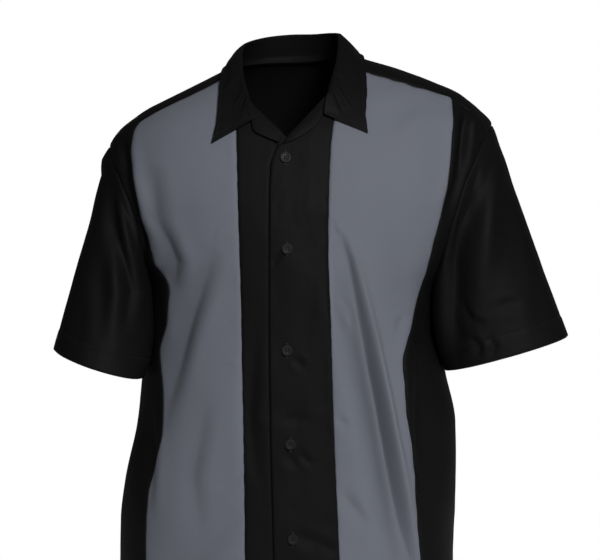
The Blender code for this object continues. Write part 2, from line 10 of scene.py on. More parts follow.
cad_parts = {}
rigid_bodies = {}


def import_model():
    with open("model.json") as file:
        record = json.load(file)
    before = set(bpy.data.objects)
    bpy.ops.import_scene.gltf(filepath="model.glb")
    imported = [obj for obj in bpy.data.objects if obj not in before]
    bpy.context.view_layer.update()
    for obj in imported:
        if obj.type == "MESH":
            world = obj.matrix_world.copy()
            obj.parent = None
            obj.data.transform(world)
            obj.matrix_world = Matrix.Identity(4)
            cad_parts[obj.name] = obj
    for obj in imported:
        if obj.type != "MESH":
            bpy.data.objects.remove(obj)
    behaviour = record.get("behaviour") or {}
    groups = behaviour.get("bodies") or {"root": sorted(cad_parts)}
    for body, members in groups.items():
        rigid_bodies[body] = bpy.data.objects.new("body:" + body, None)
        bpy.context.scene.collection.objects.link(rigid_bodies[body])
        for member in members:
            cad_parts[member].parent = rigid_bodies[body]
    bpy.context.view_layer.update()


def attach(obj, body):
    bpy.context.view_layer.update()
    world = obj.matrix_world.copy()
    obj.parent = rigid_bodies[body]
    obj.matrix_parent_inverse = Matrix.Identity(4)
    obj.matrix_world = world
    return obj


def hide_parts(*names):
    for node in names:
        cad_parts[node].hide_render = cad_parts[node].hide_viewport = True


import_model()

# ------------------------------------------------------------------ back
# The largest cut of black poplin, from the yoke seam to a narrow turned hem. It hangs from the
# shoulder blades in a few long soft folds. It is sewn to the yoke, the side pieces and the sleeves.
LEFT, RIGHT = 1, -1  # the wearer's own sides; left is +X
SIDES = ((LEFT, "left"), (RIGHT, "right"))
HEM_Z = -0.770
ROUNDNESS = 2.2
CLOTH = 0.0008  # the thickness of one layer
HEM_TURN = 0.020
HEM_INSET = 0.0015
FLANK_FADE = 0.05  # within this distance of a side seam the back's folds give way to the flank's
WARP_PITCH, WEFT_PITCH = 0.00052, 0.00060

BLACK_POPLIN = (0.0033, 0.0033, 0.0035, 1.0)
SLATE_POPLIN = (0.104, 0.111, 0.133, 1.0)

def in_metres(table):
    """The same table, out of millimetres."""
    if isinstance(table, dict):
        return {side: in_metres(rows) for side, rows in table.items()}
    return tuple(in_metres(row) for row in table) if isinstance(table, tuple) else table / 1000

LEFT_OUTLINE = in_metres((  # (z, half_width)
    (30, 0), (21, 46), (8, 84), (-7, 134), (-29, 191), (-38, 209), (-53, 227), (-74, 244), (-110, 245),
    (-150, 236), (-190, 220), (-230, 197), (-277, 173), (-320, 175), (-370, 187), (-430, 198),
    (-500, 199), (-590, 196), (-680, 197), (-790, 200),
))
RIGHT_OUTLINE = in_metres((
    (30, 0), (8, 46), (-7, 75.6), (-31, 123.6), (-55, 170), (-62, 181), (-79, 203), (-100, 216),
    (-125, 221), (-151, 218), (-187, 205), (-223, 190), (-271, 167), (-320, 170), (-370, 175),
    (-430, 182), (-500, 196), (-547, 201), (-680, 203), (-790, 205),
))
SIDE_OUTLINE = in_metres((  # (z, front_depth, back_depth)
    (30, 0, 0), (14, 28, 38), (0, 50, 64), (-18, 69, 80), (-46, 90, 97), (-92, 113, 115),
    (-140, 127, 124), (-185, 135, 129), (-240, 139, 131), (-320, 141, 127), (-460, 147, 124),
    (-600, 150, 128), (-790, 152, 134),
))
ARMHOLE = in_metres({  # (top_z, bottom_z, reach to the front and to the back)
    LEFT: (-74, -277, 70),
    RIGHT: (-100, -271, 68),
})
YOKE_FRONT_TURN = math.radians(24)
YOKE_BACK_TURN = math.radians(-52)
# A fold is (depth, half_width, lean, *path), in millimetres; a ridge has a positive depth.
BACK_FOLDS = (  # along (x, z)
    (-10.5, 20, 0.42, (128, -185), (108, -320), (80, -500), (66, -740)),
    (-11, 19, -0.4, (-118, -195), (-100, -330), (-70, -500), (-50, -745)),
    (6, 24, 0.2, (24, -230), (12, -420), (-10, -720)),
    (-8, 13, 0.3, (168, -240), (146, -360), (134, -500)),
    (-7.5, 13, -0.3, (-158, -240), (-144, -380), (-150, -520)),
    (-6, 14, 0.2, (28, -300), (52, -430), (40, -580)),
    (-5, 12, -0.2, (-20, -260), (-34, -380), (-26, -480)),
    (-4.6, 11, 0.1, (-178, -165), (-128, -198), (-70, -206)),
    (-4.6, 11, 0.1, (186, -160), (130, -190), (75, -200)),
    (-6.4, 16, 0.2, (-20, -560), (-6, -660), (-16, -760)),
    (-5, 10, 0.1, (120, -560), (150, -620), (180, -640)),
    (-4.4, 10, -0.1, (-110, -600), (-140, -655), (-176, -680)),
)
SIDE_FOLDS = (  # the same, on the flank of each side, as (y, z)
    (-7, 11, 0.3, (-20, -285), (-50, -360), (-62, -450)),
    (-7, 13, -0.3, (30, -290), (50, -380), (40, -520)),
    (-4, 16, 0.2, (0, -400), (-14, -540), (-4, -700)),
)
LOW_ROWS, HIGH_ROWS, BACK_HIGH_ROWS = 160, 88, 80  # rows of cloth below and beside the armholes
INSERT_COLUMNS, SIDE_COLUMNS, BACK_COLUMNS = 64, 30, 150

def eased(table, at, column=1):
    """The table's column at each height, on a curve that never overshoots its rows."""
    rows = np.array(sorted((row[0], row[column]) for row in table))
    place, value = rows[:, 0], rows[:, 1]
    gap = np.diff(place)
    rise = np.diff(value) / gap
    both = rise[:-1] * rise[1:]
    inner = np.where(both > 0, 2 * both / np.where(both > 0, rise[:-1] + rise[1:], 1.0), 0.0)
    slope = np.concatenate(([rise[0]], inner, [rise[-1]]))
    at = np.clip(at, place[0], place[-1])
    i = np.clip(np.searchsorted(place, at, side="right") - 1, 0, len(gap) - 1)
    t = (at - place[i]) / gap[i]
    a, b = value[i], value[i + 1]
    m0, m1 = slope[i] * gap[i], slope[i + 1] * gap[i]
    return (a * (1 + 2 * t) + m0 * t) * (1 - t) ** 2 + (b * (3 - 2 * t) - m1 * (1 - t)) * t * t

def half_width(x, z):
    return np.where(x >= 0, eased(LEFT_OUTLINE, z), eased(RIGHT_OUTLINE, z))

def depth(y, z):
    return np.where(y < 0, eased(SIDE_OUTLINE, z, 1), eased(SIDE_OUTLINE, z, 2))

def body_at(face, turn, z):
    """Points of the worn form: turn runs from -1 to 1 over the front (face -1) or back (face 1)."""
    turn, z = np.broadcast_arrays(np.asarray(turn, float), np.asarray(z, float))
    angle = np.minimum(np.abs(turn), 1.0) * math.pi / 2
    x = np.where(turn >= 0, 1, -1) * half_width(turn, z) * np.sin(angle) ** (2 / ROUNDNESS)
    y = face * depth(face + 0 * z, z) * np.maximum(np.cos(angle), 0.0) ** (2 / ROUNDNESS)
    return np.stack([x, y, z], axis=-1)

def turn_of_x(x, z):
    share = np.minimum(np.abs(x) / half_width(x, z), 1.0)
    return np.where(x >= 0, 1, -1) * np.arcsin(share ** (ROUNDNESS / 2)) / (math.pi / 2)

def fullness(p):
    """1 on the form, under 1 inside it and over 1 outside."""
    wide = np.maximum(half_width(p[..., 0], p[..., 2]), 1e-5)
    deep = np.maximum(depth(p[..., 1], p[..., 2]), 1e-5)
    return np.minimum((np.abs(p[..., 0]) / wide) ** ROUNDNESS + (np.abs(p[..., 1]) / deep) ** ROUNDNESS, 60.0)

def made_unit(v):
    return v / np.maximum(np.linalg.norm(v, axis=-1, keepdims=True), 1e-12)

def normal_at(p):
    """The way that the form faces beside p."""
    steps = np.eye(3) * 0.0015
    return made_unit(np.stack([fullness(p + step) - fullness(p - step) for step in steps], axis=-1))

def on_form(p):
    """The form's points on the lines from the middle of the chest through p."""
    middle = np.array((0.0, 0.0, -0.16))
    near, far = np.zeros(p.shape[:-1]), np.full(p.shape[:-1], 3.0)
    for _ in range(34):
        half = (near + far) / 2
        outside = fullness(middle + (p - middle) * half[..., None]) > 1
        far, near = np.where(outside, half, far), np.where(outside, near, half)
    return middle + (p - middle) * near[..., None]

def clear_of_body(p, gap):
    """The points moved straight out, where need be, until they stand the gap off the form."""
    for _ in range(4):
        foot = on_form(p)
        out = normal_at(foot)
        short = np.maximum(gap - ((p - foot) * out).sum(axis=-1), 0.0)
        p = p + out * short[..., None]
    return p

def armhole_at(side, angle):
    """Points of the armhole: angle 0 is the shoulder, a quarter turn on is the front."""
    top, bottom, reach = ARMHOLE[side]
    angle = np.asarray(angle, float)
    z = (top + bottom) / 2 + (top - bottom) / 2 * np.cos(angle)
    y = -reach * np.sin(angle)
    share = np.minimum(np.abs(y) / depth(y, z), 1.0)
    turn = side * np.arccos(share ** (ROUNDNESS / 2)) / (math.pi / 2)
    return np.where((y < 0)[..., None], body_at(-1, turn, z), body_at(1, turn, z))

def spline(points, t):
    """The smooth curve through the points, at each t from 0 to 1."""
    points = np.array(points, float)
    points = np.concatenate(([points[0] * 2 - points[1]], points, [points[-1] * 2 - points[-2]]))
    place = np.clip(np.asarray(t, float), 0.0, 1.0) * (len(points) - 3)
    i = np.minimum(place.astype(int), len(points) - 4)
    f = (place - i)[..., None]
    p0, p1, p2, p3 = (points[i + k] for k in range(4))
    return (p1 * 2 + (p2 - p0) * f + (p0 * 2 - p1 * 5 + p2 * 4 - p3) * f * f
            + (p1 * 3 - p0 - p2 * 3 + p3) * f ** 3) / 2

def creased(u, v, folds):
    """The push that a table of folds gives at places u, v on the cloth."""
    push = np.zeros_like(u)
    for deep, wide, lean, *path in folds:
        deep, wide, path = deep / 1000, wide / 1000, np.array(path) / 1000
        lengths = np.linalg.norm(np.diff(path, axis=0), axis=1)
        nearest, across, along = np.full(u.shape, 9.0), np.zeros_like(u), np.zeros_like(u)
        start = 0.0
        for a, b, length in zip(path, path[1:], lengths):
            d = (b - a) / length
            t = np.clip((u - a[0]) * d[0] + (v - a[1]) * d[1], 0.0, length)
            pu, pv = u - a[0] - d[0] * t, v - a[1] - d[1] * t
            distance = np.hypot(pu, pv)
            closer = distance < nearest
            across = np.where(closer, distance * np.sign(pu * d[1] - pv * d[0]), across)
            along = np.where(closer, (start + t) / lengths.sum(), along)
            nearest = np.minimum(nearest, distance)
            start += length
        flank = wide * np.where(across > 0, 1 + lean, 1 - lean)
        swell = np.clip(np.sin(math.pi * (0.02 + 0.96 * along)), 0, 1) ** 0.8
        # The cloth that a trough takes in stands up a little beside it.
        lip = np.exp(-((np.abs(across) - 2.1 * flank) / (0.95 * flank)) ** 2)
        push += deep * swell * (np.exp(-((across / flank) ** 2)) - 0.28 * lip)
    return push

def rumpled(p, seed, height=0.0011, size=0.070):
    """The slight unevenness of worn cloth: soft swells and finer ones on top."""
    flat = p.reshape(-1, 3)
    stretch = Vector((1.0, 1.0, 0.55))
    offset = Vector((seed * 3.7, seed * 1.9, seed * 5.3))
    swells = np.empty(len(flat))
    for i, q in enumerate(flat.tolist()):
        at = Vector(q) * stretch / size + offset
        swells[i] = noise.noise(at) + 0.32 * noise.noise(at * 2.9) + 0.10 * noise.noise(at * 7.0)
    return (swells * height).reshape(p.shape[:-1])

def puckers(run, distance, seed, height=0.00028):
    """Small pulls beside a seam, uneven along its run, dying out across the cloth."""
    wave = np.sin(run / 0.0047 + 2.3 * np.sin(run / 0.031 + seed) + seed)
    drift = 0.5 + 0.5 * np.sin(run / 0.083 + seed * 2.1)
    return height * wave * drift * np.exp(-((distance / 0.009) ** 2))

def edge_distance(points):
    """How far each column lies from the first and the last along its row."""
    steps = np.linalg.norm(np.diff(points, axis=1), axis=-1)
    run = np.concatenate((np.zeros((len(points), 1)), np.cumsum(steps, axis=1)), axis=1)
    return run, run[:, -1:] - run

def row_distance(points):
    """How far each row lies from the first and the last along its column."""
    return tuple(run.T for run in edge_distance(points.swapaxes(0, 1)))

def seam_dip(distance, deep=0.0010, wide=0.0026):
    """At a seam the cloth turns in towards its allowance."""
    return -deep * np.exp(-((distance / wide) ** 2))

class Finish:
    """A socket of a material's nodes that takes part in sums."""

    def __init__(self, tree, socket):
        self.tree, self.socket = tree, socket

    def _sum(self, operation, a, b):
        made = self.tree.nodes.new("ShaderNodeMath")
        made.operation = operation
        for slot, value in zip(made.inputs, (a, b)):
            if isinstance(value, Finish):
                self.tree.links.new(value.socket, slot)
            else:
                slot.default_value = value
        return Finish(self.tree, made.outputs[0])

    def __add__(self, other): return self._sum("ADD", self, other)
    def __radd__(self, other): return self._sum("ADD", other, self)
    def __sub__(self, other): return self._sum("SUBTRACT", self, other)
    def __rsub__(self, other): return self._sum("SUBTRACT", other, self)
    def __mul__(self, other): return self._sum("MULTIPLY", self, other)
    def __rmul__(self, other): return self._sum("MULTIPLY", other, self)
    def sine(self): return self._sum("SINE", self, 0.0)

    def node(self, kind, settings=(), **inputs):
        """Another node: its settings come first, then the values or links of its sockets."""
        made = self.tree.nodes.new(kind)
        for name, value in settings:
            setattr(made, name, value)
        for name, value in inputs.items():
            slot = made.inputs[int(name[1:]) if name[1:].isdigit() else name.replace("_", " ")]
            if isinstance(value, Finish):
                self.tree.links.new(value.socket, slot)
            else:
                slot.default_value = value
        return made

    def speckle(self, **inputs):
        """Noise over this place."""
        return Finish(self.tree, self.node("ShaderNodeTexNoise", Vector=self, **inputs).outputs["Fac"])

def new_finish(name):
    """A new material: itself, its node tree, its shader and a kit that adds nodes to it."""
    made = bpy.data.materials.new(name)
    made.use_nodes = True
    tree = made.node_tree
    return made, tree, tree.nodes["Principled BSDF"], Finish(tree, None)

def embossed(kit, shader, height, strength, distance):
    relief = kit.node("ShaderNodeBump", Height=height, Strength=strength, Distance=distance)
    kit.tree.links.new(relief.outputs[0], shader.inputs["Normal"])

def poplin(name, colour, roughness, sheen, gleam):
    """Plain-weave cotton blend: fine even threads with a few thicker ones, and a faint sheen."""
    made, tree, shader, kit = new_finish(name)
    cloth = Finish(tree, kit.node("ShaderNodeUVMap", [("uv_map", "cloth")]).outputs["UV"])
    axes = kit.node("ShaderNodeSeparateXYZ", Vector=cloth)
    u, v = Finish(tree, axes.outputs[0]), Finish(tree, axes.outputs[1])
    threads = (u * (math.tau / WARP_PITCH)).sine() * (v * (math.tau / WEFT_PITCH)).sine()

    def slubs(scale):
        stretched = kit.node("ShaderNodeMapping", _1=(0, 0, 0), Vector=cloth, Scale=scale)
        return Finish(tree, stretched.outputs[0]).speckle(Scale=1.0, Detail=2.0)

    warp, weft, tone = slubs((2200, 160, 1)), slubs((150, 1900, 1)), slubs((9, 7, 1))
    shade = (warp + weft) * 0.10 + (tone - 0.5) * 0.16 + threads * 0.03
    paler = tuple(min(c * 1.55 + 0.001, 1.0) for c in colour[:3]) + (1.0,)
    deeper = tuple(c * 0.72 for c in colour[:3]) + (1.0,)
    mixed = kit.node("ShaderNodeMix", [("data_type", "RGBA")], _0=shade + 0.30, _6=deeper, _7=paler)
    tree.links.new(mixed.outputs[2], shader.inputs["Base Color"])
    gloss = (tone - 0.5) * 0.10 + (warp - 0.5) * 0.06 + roughness
    tree.links.new(gloss.socket, shader.inputs["Roughness"])
    embossed(kit, shader, threads * 0.35 + (warp + weft) * 0.9, 0.30, 0.00012)
    shader.inputs["Sheen Weight"].default_value = sheen
    shader.inputs["Sheen Roughness"].default_value = 0.45
    shader.inputs["Specular IOR Level"].default_value = gleam
    return made

black_poplin = poplin("black_poplin", BLACK_POPLIN, 0.60, 0.0, 0.052)
slate_poplin = poplin("slate_poplin", SLATE_POPLIN, 0.72, 0.02, 0.10)

def laid_cloth(name, points, finish, closed=False, thickness=CLOTH, outward=1.0):
    """A grid of cloth, cut flat, then every crossing moved to its place in points[row, column]."""
    rows, columns = points.shape[:2]
    bpy.ops.object.select_all(action="DESELECT")
    bpy.ops.mesh.primitive_grid_add(x_subdivisions=columns - 1, y_subdivisions=rows - 1, size=2.0)
    piece = bpy.context.object
    piece.name = piece.data.name = name
    mesh = piece.data
    mesh.vertices.foreach_set("co", points.reshape(-1, 3).astype(np.float32).ravel())
    across, _ = edge_distance(points)
    across = across - across.mean(axis=1, keepdims=True)
    climb = np.linalg.norm(np.diff(points, axis=0), axis=-1).mean(axis=1)
    up = np.concatenate(([0.0], np.cumsum(climb)))
    flat = np.stack([across, np.broadcast_to(up[:, None], across.shape)], axis=-1).reshape(-1, 2)
    corner = np.empty(len(mesh.loops), dtype=np.int32)
    mesh.loops.foreach_get("vertex_index", corner)
    mesh.uv_layers.active.name = "cloth"
    mesh.uv_layers["cloth"].data.foreach_set("uv", flat[corner].astype(np.float32).ravel())
    mesh.materials.append(finish)
    mesh.update()
    if closed:
        bpy.ops.object.mode_set(mode="EDIT")
        bpy.ops.mesh.select_all(action="SELECT")
        bpy.ops.mesh.remove_doubles(threshold=0.00002)
        bpy.ops.object.mode_set(mode="OBJECT")
    wall = piece.modifiers.new("cloth", "SOLIDIFY")
    wall.thickness, wall.offset = thickness, outward
    bpy.ops.object.modifier_apply(modifier=wall.name)
    bpy.ops.object.shade_smooth()
    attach(piece, "root")
    return piece

def low_rows(side):
    """The heights of the rows below the armhole, from the hem up."""
    return np.linspace(HEM_Z, ARMHOLE[side][1], LOW_ROWS + 1)[:-1]

def rail_of_x(side, table):
    """A seam down the front as turns and heights, from the hem to the yoke."""
    z = np.concatenate((low_rows(side), np.linspace(ARMHOLE[side][1], table[0][0], HIGH_ROWS + 1)))
    return turn_of_x(eased(table, z), z), z

def armhole_turn(side, angle):
    p = armhole_at(side, angle)
    return side * np.minimum(np.abs(turn_of_x(p[..., 0], p[..., 2])), 1.0), p[..., 2]

def side_rail(side, angles):
    """A side seam from the hem to the underarm, then the armhole, as turns and heights."""
    turn, z = armhole_turn(side, angles)
    return np.concatenate((np.full(LOW_ROWS, float(side)), turn)), np.concatenate((low_rows(side), z))

def between(face, first, last, columns):
    """The form's points between two seams, given as (turns, heights)."""
    r = np.linspace(0.0, 1.0, columns + 1)
    turn = first[0][:, None] + (last[0] - first[0])[:, None] * r
    z = first[1][:, None] + (last[1] - first[1])[:, None] * r
    return body_at(face, turn, z)

def turned_hem(points, outward, deep=HEM_TURN, inset=HEM_INSET):
    """The bottom edge turned in and up: four more rows inside the first one."""
    rise = made_unit(points[1] - points[0])
    inside = [points[0] - outward[0] * inset + rise * h for h in (deep, deep * 0.5, 0.002)]
    fold = points[0] - outward[0] * inset * 0.5 - rise * 0.0006
    return np.concatenate((np.array(inside), [fold], points))

def hem_ridge(distance, deep=HEM_TURN):
    """The doubled hem stands out a little, and its stitching pulls in."""
    past = distance - deep
    return 0.0006 / (1 + np.exp(past / 0.0012)) - 0.0006 * np.exp(-((past / 0.0018) ** 2))

# Seen from behind, the wearer's left is on the left.
round_arm = np.linspace(-math.pi, YOKE_BACK_TURN, BACK_HIGH_ROWS)
plain = between(1, side_rail(LEFT, round_arm), side_rail(RIGHT, round_arm), BACK_COLUMNS)
near, far = edge_distance(plain)
out = normal_at(plain)
x, z = plain[..., 0], plain[..., 2]
push = creased(x, z, BACK_FOLDS) + rumpled(plain, 1.0) + hem_ridge(z - HEM_Z)
flank = np.clip(np.minimum(near, far) / FLANK_FADE, 0, 1)
push = push * flank + creased(plain[..., 1], z, SIDE_FOLDS) * (1 - flank)
push += seam_dip(near) + seam_dip(far) + puckers(z, near, 1.0) + puckers(z, far, 2.0)
_, top = row_distance(plain)
push += seam_dip(top) + puckers(x, top, 3.0)
back = laid_cloth("back_cloth", turned_hem(plain + out * push[..., None], out), black_poplin)
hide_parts("back")

# ------------------------------------------------------------------ yoke
# One cut over both shoulders. Its front seams lie a little forward of the ridge and its back seam
# runs level across the shoulder blades. The collar is sewn into its inner edge.
LEFT_INSERT_INNER = in_metres((  # (z, x) of the seams down the fronts, which the yoke's front edge meets
    (-4, 68), (-36, 59), (-68, 54), (-100, 50), (-163, 47.4), (-223, 46.8), (-313, 49), (-403, 52),
    (-499, 56), (-589, 60), (-790, 68),
))
LEFT_INSERT_OUTER = in_metres((
    (-42, 194), (-61, 195), (-88, 193), (-109, 191), (-150, 187), (-181, 181), (-211, 173), (-272, 157),
    (-307, 148), (-337, 138), (-358, 134), (-385, 136), (-415, 137.5), (-457, 144), (-505, 149.5),
    (-547, 154), (-587, 155.5), (-680, 158), (-790, 162),
))
RIGHT_INSERT_INNER = in_metres((
    (-14, -69), (-45, -65), (-79, -63), (-169, -60.6), (-283, -57), (-403, -55), (-499, -53),
    (-589, -52), (-790, -49),
))
RIGHT_INSERT_OUTER = in_metres((
    (-71, -179), (-83, -185), (-106, -188), (-121, -187), (-155, -181), (-175, -179), (-211, -170),
    (-238, -161), (-271, -144), (-310, -149), (-346, -157), (-403, -153), (-442, -150), (-481, -161),
    (-511, -168), (-559, -169), (-680, -171), (-790, -174),
))
INNER_SEAM = {LEFT: LEFT_INSERT_INNER, RIGHT: RIGHT_INSERT_INNER}
OUTER_SEAM = {LEFT: LEFT_INSERT_OUTER, RIGHT: RIGHT_INSERT_OUTER}
NECK_SEAM = in_metres({  # where the collar is sewn in, from the notch to beside the middle of the back
    LEFT: (
        (44.3, -86, -39.2), (48, -80, -33.2), (51.7, -72.5, -26.3), (59.1, -60, -15.2),
        (64.6, -44, -3.2), (68.3, -24, 7.8), (69.2, 0, 12), (59.1, 32, 12), (32.3, 52, 10.2),
    ),
    RIGHT: (
        (-44.3, -90, -48.9), (-48, -84, -43.4), (-51.7, -76.5, -36.9), (-58.2, -64, -26.8),
        (-62.8, -47, -15.7), (-64.6, -25, -5.5), (-64.6, 0, -0.9), (-55.4, 32, 2.8), (-30.5, 52, 7.4),
    ),
})
NECK_MIDDLE = (0.0009, 0.0580, 0.0097)
YOKE_FOLDS = (  # (depth, half_width, lean, path as (x, y))
    (-1.6, 10, 0.2, (226, -20), (195, 20), (150, 60)),
    (-1.4, 9, 0, (-205, -10), (-165, 30), (-120, 60)),
    (-1.2, 12, 0, (100, 0), (90, 60), (100, 100)),
    (-1.2, 12, 0, (-90, 10), (-82, 60), (-90, 100)),
)
SHOULDER_ROWS = 60
NECK_AT_BACK = 0.60  # where along the yoke's neck edge its back seam begins
YOKE_PULL = 0.0004  # the height of the puckers at the yoke's seams

halves = []
for side in (LEFT, RIGHT):
    arm = armhole_turn(side, np.array([YOKE_FRONT_TURN]))
    outer, corner = ([v[-1:] for v in rail_of_x(side, seams[side])] for seams in (OUTER_SEAM, INNER_SEAM))
    first, second = between(-1, arm, outer, SIDE_COLUMNS)[0], between(-1, outer, corner, INSERT_COLUMNS)[0]
    seam = np.concatenate((first, second[1:]))
    share = edge_distance(seam[None])[0][0]
    share = share / share[-1]
    neck = np.concatenate(([seam[-1]], on_form(np.array(NECK_SEAM[side][5:] + (NECK_MIDDLE,)))))
    turns = np.linspace(0, 1, SHOULDER_ROWS + 1)[1:]
    rim = armhole_at(side, YOKE_FRONT_TURN + (YOKE_BACK_TURN - YOKE_FRONT_TURN) * turns)
    arm, other = (np.stack(armhole_turn(end, np.array(YOKE_BACK_TURN))) for end in (side, -side))
    r = np.linspace(0, 0.5, BACK_COLUMNS // 2 + 1)[1:]
    back_turn, back_z = arm[:, None] + (other - arm)[:, None] * r
    rim = np.concatenate((rim, body_at(1, back_turn, back_z)))
    ring = spline(neck, np.concatenate((NECK_AT_BACK * turns, NECK_AT_BACK + (1 - NECK_AT_BACK) * 2 * r)))
    rest = on_form(rim[:, None] + (ring - rim)[:, None] * share[None, :, None])
    halves.append(np.concatenate((seam[None], rest)))
plain = np.concatenate((halves[0], halves[1][-2::-1]))
out = normal_at(plain)
from_rim, _ = edge_distance(plain)
from_start, from_end = row_distance(plain)
x = plain[..., 0]
push = creased(x, plain[..., 1], YOKE_FOLDS) + rumpled(plain, 4.0, 0.0007)
push += seam_dip(from_rim) + seam_dip(from_start) + seam_dip(from_end)
push += puckers(x, from_start, 5.0, YOKE_PULL) + puckers(x, from_end, 6.0, YOKE_PULL)
points = plain + out * push[..., None]

ALLOWANCE_ROWS = ((0.0002, 0.0018), (0.0060, 0.0022))  # (beyond the edge, under the next piece)

def allowance(edge, inner, way):
    """The seam allowance beyond an edge, pressed under the next piece: its seam end, its raw end."""
    beyond = made_unit(edge - inner)
    return [edge + beyond * d - way * deep for d, deep in ALLOWANCE_ROWS]

front_ends = allowance(points[0], points[1], out[0]), allowance(points[-1], points[-2], out[-1])
points = np.concatenate((front_ends[0][::-1], points, front_ends[1]))
out = np.concatenate((out[:1], out[:1], out, out[-1:], out[-1:]))
rim = allowance(points[:, 0], points[:, 1], out[:, 0])
points = np.concatenate((np.stack(rim[::-1], axis=1), points), axis=1)
yoke = laid_cloth("yoke_cloth", points, black_poplin)
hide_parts("yoke")

# ------------------------------------------------------------------ grey-blue inserts
# A long shaped panel of slate poplin down each front, sewn in between the centre strip and the
# side piece. The cloth pulls towards the underarm and the waist in long slanting folds.
FRONT_FOLDS = (  # (depth, half_width, lean, path as (x, z))
    (-6.2, 19, 0.46, (-90, -218), (-103, -259), (-124, -319), (-141, -379), (-153, -436)),
    (-2.4, 20, 0.3, (-108, -262), (-122, -310), (-136, -380), (-150, -430)),
    (-6, 16, 0.46, (-158, -192), (-145, -216), (-137, -238), (-142, -270)),
    (-3, 10, 0, (-166, -120), (-159, -176), (-152, -205)),
    (-5, 24, 0.25, (-62, -529), (-119, -595), (-152, -670)),
    (-3.2, 13, 0.25, (-98, -400), (-116, -490), (-108, -560)),
    (-1.3, 3, 0, (-54, -303), (-66, -305), (-82, -312)),
    (-1.1, 3.2, 0, (-54, -362), (-64, -366), (-76, -366)),
    (-1.5, 3.4, 0, (-52, -492), (-62, -499), (-80, -506)),
    (-1.4, 3.4, 0, (-52, -588), (-64, -594), (-78, -595)),
    (-2.6, 5.5, 0.1, (-150, -300), (-158, -330)),
    (-22.5, 12, 0.66, (61, -208), (71, -235), (83, -283), (95, -331), (110, -403), (118.5, -451),
        (127, -499), (135.5, -547), (145, -586), (156, -630)),
    (-2, 4.2, 0, (5, -351), (19, -364)),
    (-2.2, 4.2, 0, (9, -461), (29, -479)),
    (-1.8, 4, 0, (-8, -229), (-21, -240)),
    (-13, 6.2, 0.25, (212, -50), (211, -91), (206, -135), (192, -181)),
    (-11, 6, -0.2, (-199, -90), (-196, -140), (-184, -190), (-170, -228)),
    (-2.6, 12, 0.2, (166, -38), (140, -56), (108, -82)),
    (-13, 15, -0.3, (164, -270), (161, -340), (162, -420), (164, -520), (170, -640)),
    (-2.8, 6, 0.1, (150, -470), (160, -490), (158, -515)),
    (-4, 8, 0.3, (-169, -400), (-162, -460), (-166, -540)),
    (-3.4, 6.2, 0.2, (54, -286), (64, -298), (75, -318)),
    (-3.8, 7.8, 0.2, (60, -508), (74, -524), (94, -555)),
    (-2.2, 5, 0.1, (56, -420), (70, -436)),
    (-3, 18, 0.25, (128, -190), (136, -260), (142, -320)),
    (-2.4, 5, 0, (138, -300), (128, -322)),
    (-2, 14, 0.1, (7, -415), (10, -432)),
    (-2.2, 6, 0.1, (-5, -463), (13, -481)),
    (-3, 7, 0.2, (7, -559), (34, -570), (59, -581)),
    (-2.4, 11, 0.2, (20, -180), (30, -250), (22, -320)),
    (-2.6, 9, 0.2, (-40, -330), (-46, -420), (-38, -500)),
    (-3, 16, 0.2, (80, -620), (105, -690), (100, -760)),
    (-3, 15, -0.2, (-30, -640), (-60, -700), (-68, -765)),
)
LAYERED_TO = 0.048  # the doubled strips beside the opening crumple out to here

def front_push(plain):
    """Folds, the rumpling beside the buttons and the hem's doubling, on any piece of the fronts."""
    x, z = plain[..., 0], plain[..., 2]
    beside_buttons = rumpled(plain, 12.0, 0.0010, 0.030) * np.exp(-((x / LAYERED_TO) ** 4))
    return creased(x, z, FRONT_FOLDS) + rumpled(plain, 8.0) + beside_buttons + hem_ridge(z - HEM_Z)

for side, name, flat, area in ((LEFT, "left", (0.17, 0.77), 0.093), (RIGHT, "right", (0.17, 0.76), 0.097)):
    inner = rail_of_x(side, INNER_SEAM[side])
    outer = rail_of_x(side, OUTER_SEAM[side])
    plain = between(-1, *(inner, outer)[::side], INSERT_COLUMNS)
    out = normal_at(plain)
    near, far = edge_distance(plain)
    _, top = row_distance(plain)
    x, z = plain[..., 0], plain[..., 2]
    push = front_push(plain) + seam_dip(near) + seam_dip(far) + seam_dip(top)
    push += puckers(z, near, 9.0 + side) + puckers(z, far, 12.0 + side) + puckers(x, top, 15.0, YOKE_PULL)
    points = turned_hem(plain + out * push[..., None], out)
    insert = laid_cloth(f"front_{name}_insert_cloth", points, slate_poplin)
    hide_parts(f"front_{name}_insert")

# ------------------------------------------------------------------ side pieces of the fronts
# Narrow black pieces between the inserts and the back. Each reaches up in front of the armhole to
# the yoke, and the sleeve is sewn into its curved edge.
SIDE_FADE = 0.03  # within this distance of the side seam the front's folds give way to the flank's

for side, name, flat, area in ((LEFT, "left", (0.13, 0.73), 0.066), (RIGHT, "right", (0.12, 0.70), 0.054)):
    inner = rail_of_x(side, OUTER_SEAM[side])
    outer = side_rail(side, np.linspace(math.pi, YOKE_FRONT_TURN, HIGH_ROWS + 1))
    plain = between(-1, *(inner, outer)[::side], SIDE_COLUMNS)
    out = normal_at(plain)
    near, far = edge_distance(plain)
    _, from_flank = (near, far)[::side]
    share = np.clip(from_flank / SIDE_FADE, 0, 1)
    y, z = plain[..., 1], plain[..., 2]
    push = front_push(plain) * share + (creased(y, z, SIDE_FOLDS) + hem_ridge(z - HEM_Z)) * (1 - share)
    push += seam_dip(near) + seam_dip(far) + puckers(z, near, 17.0 + side) + puckers(z, far, 19.0 + side)
    points = turned_hem(plain + out * push[..., None], out)
    flank = laid_cloth(f"front_{name}_side_cloth", points, black_poplin)
    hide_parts(f"front_{name}_side")

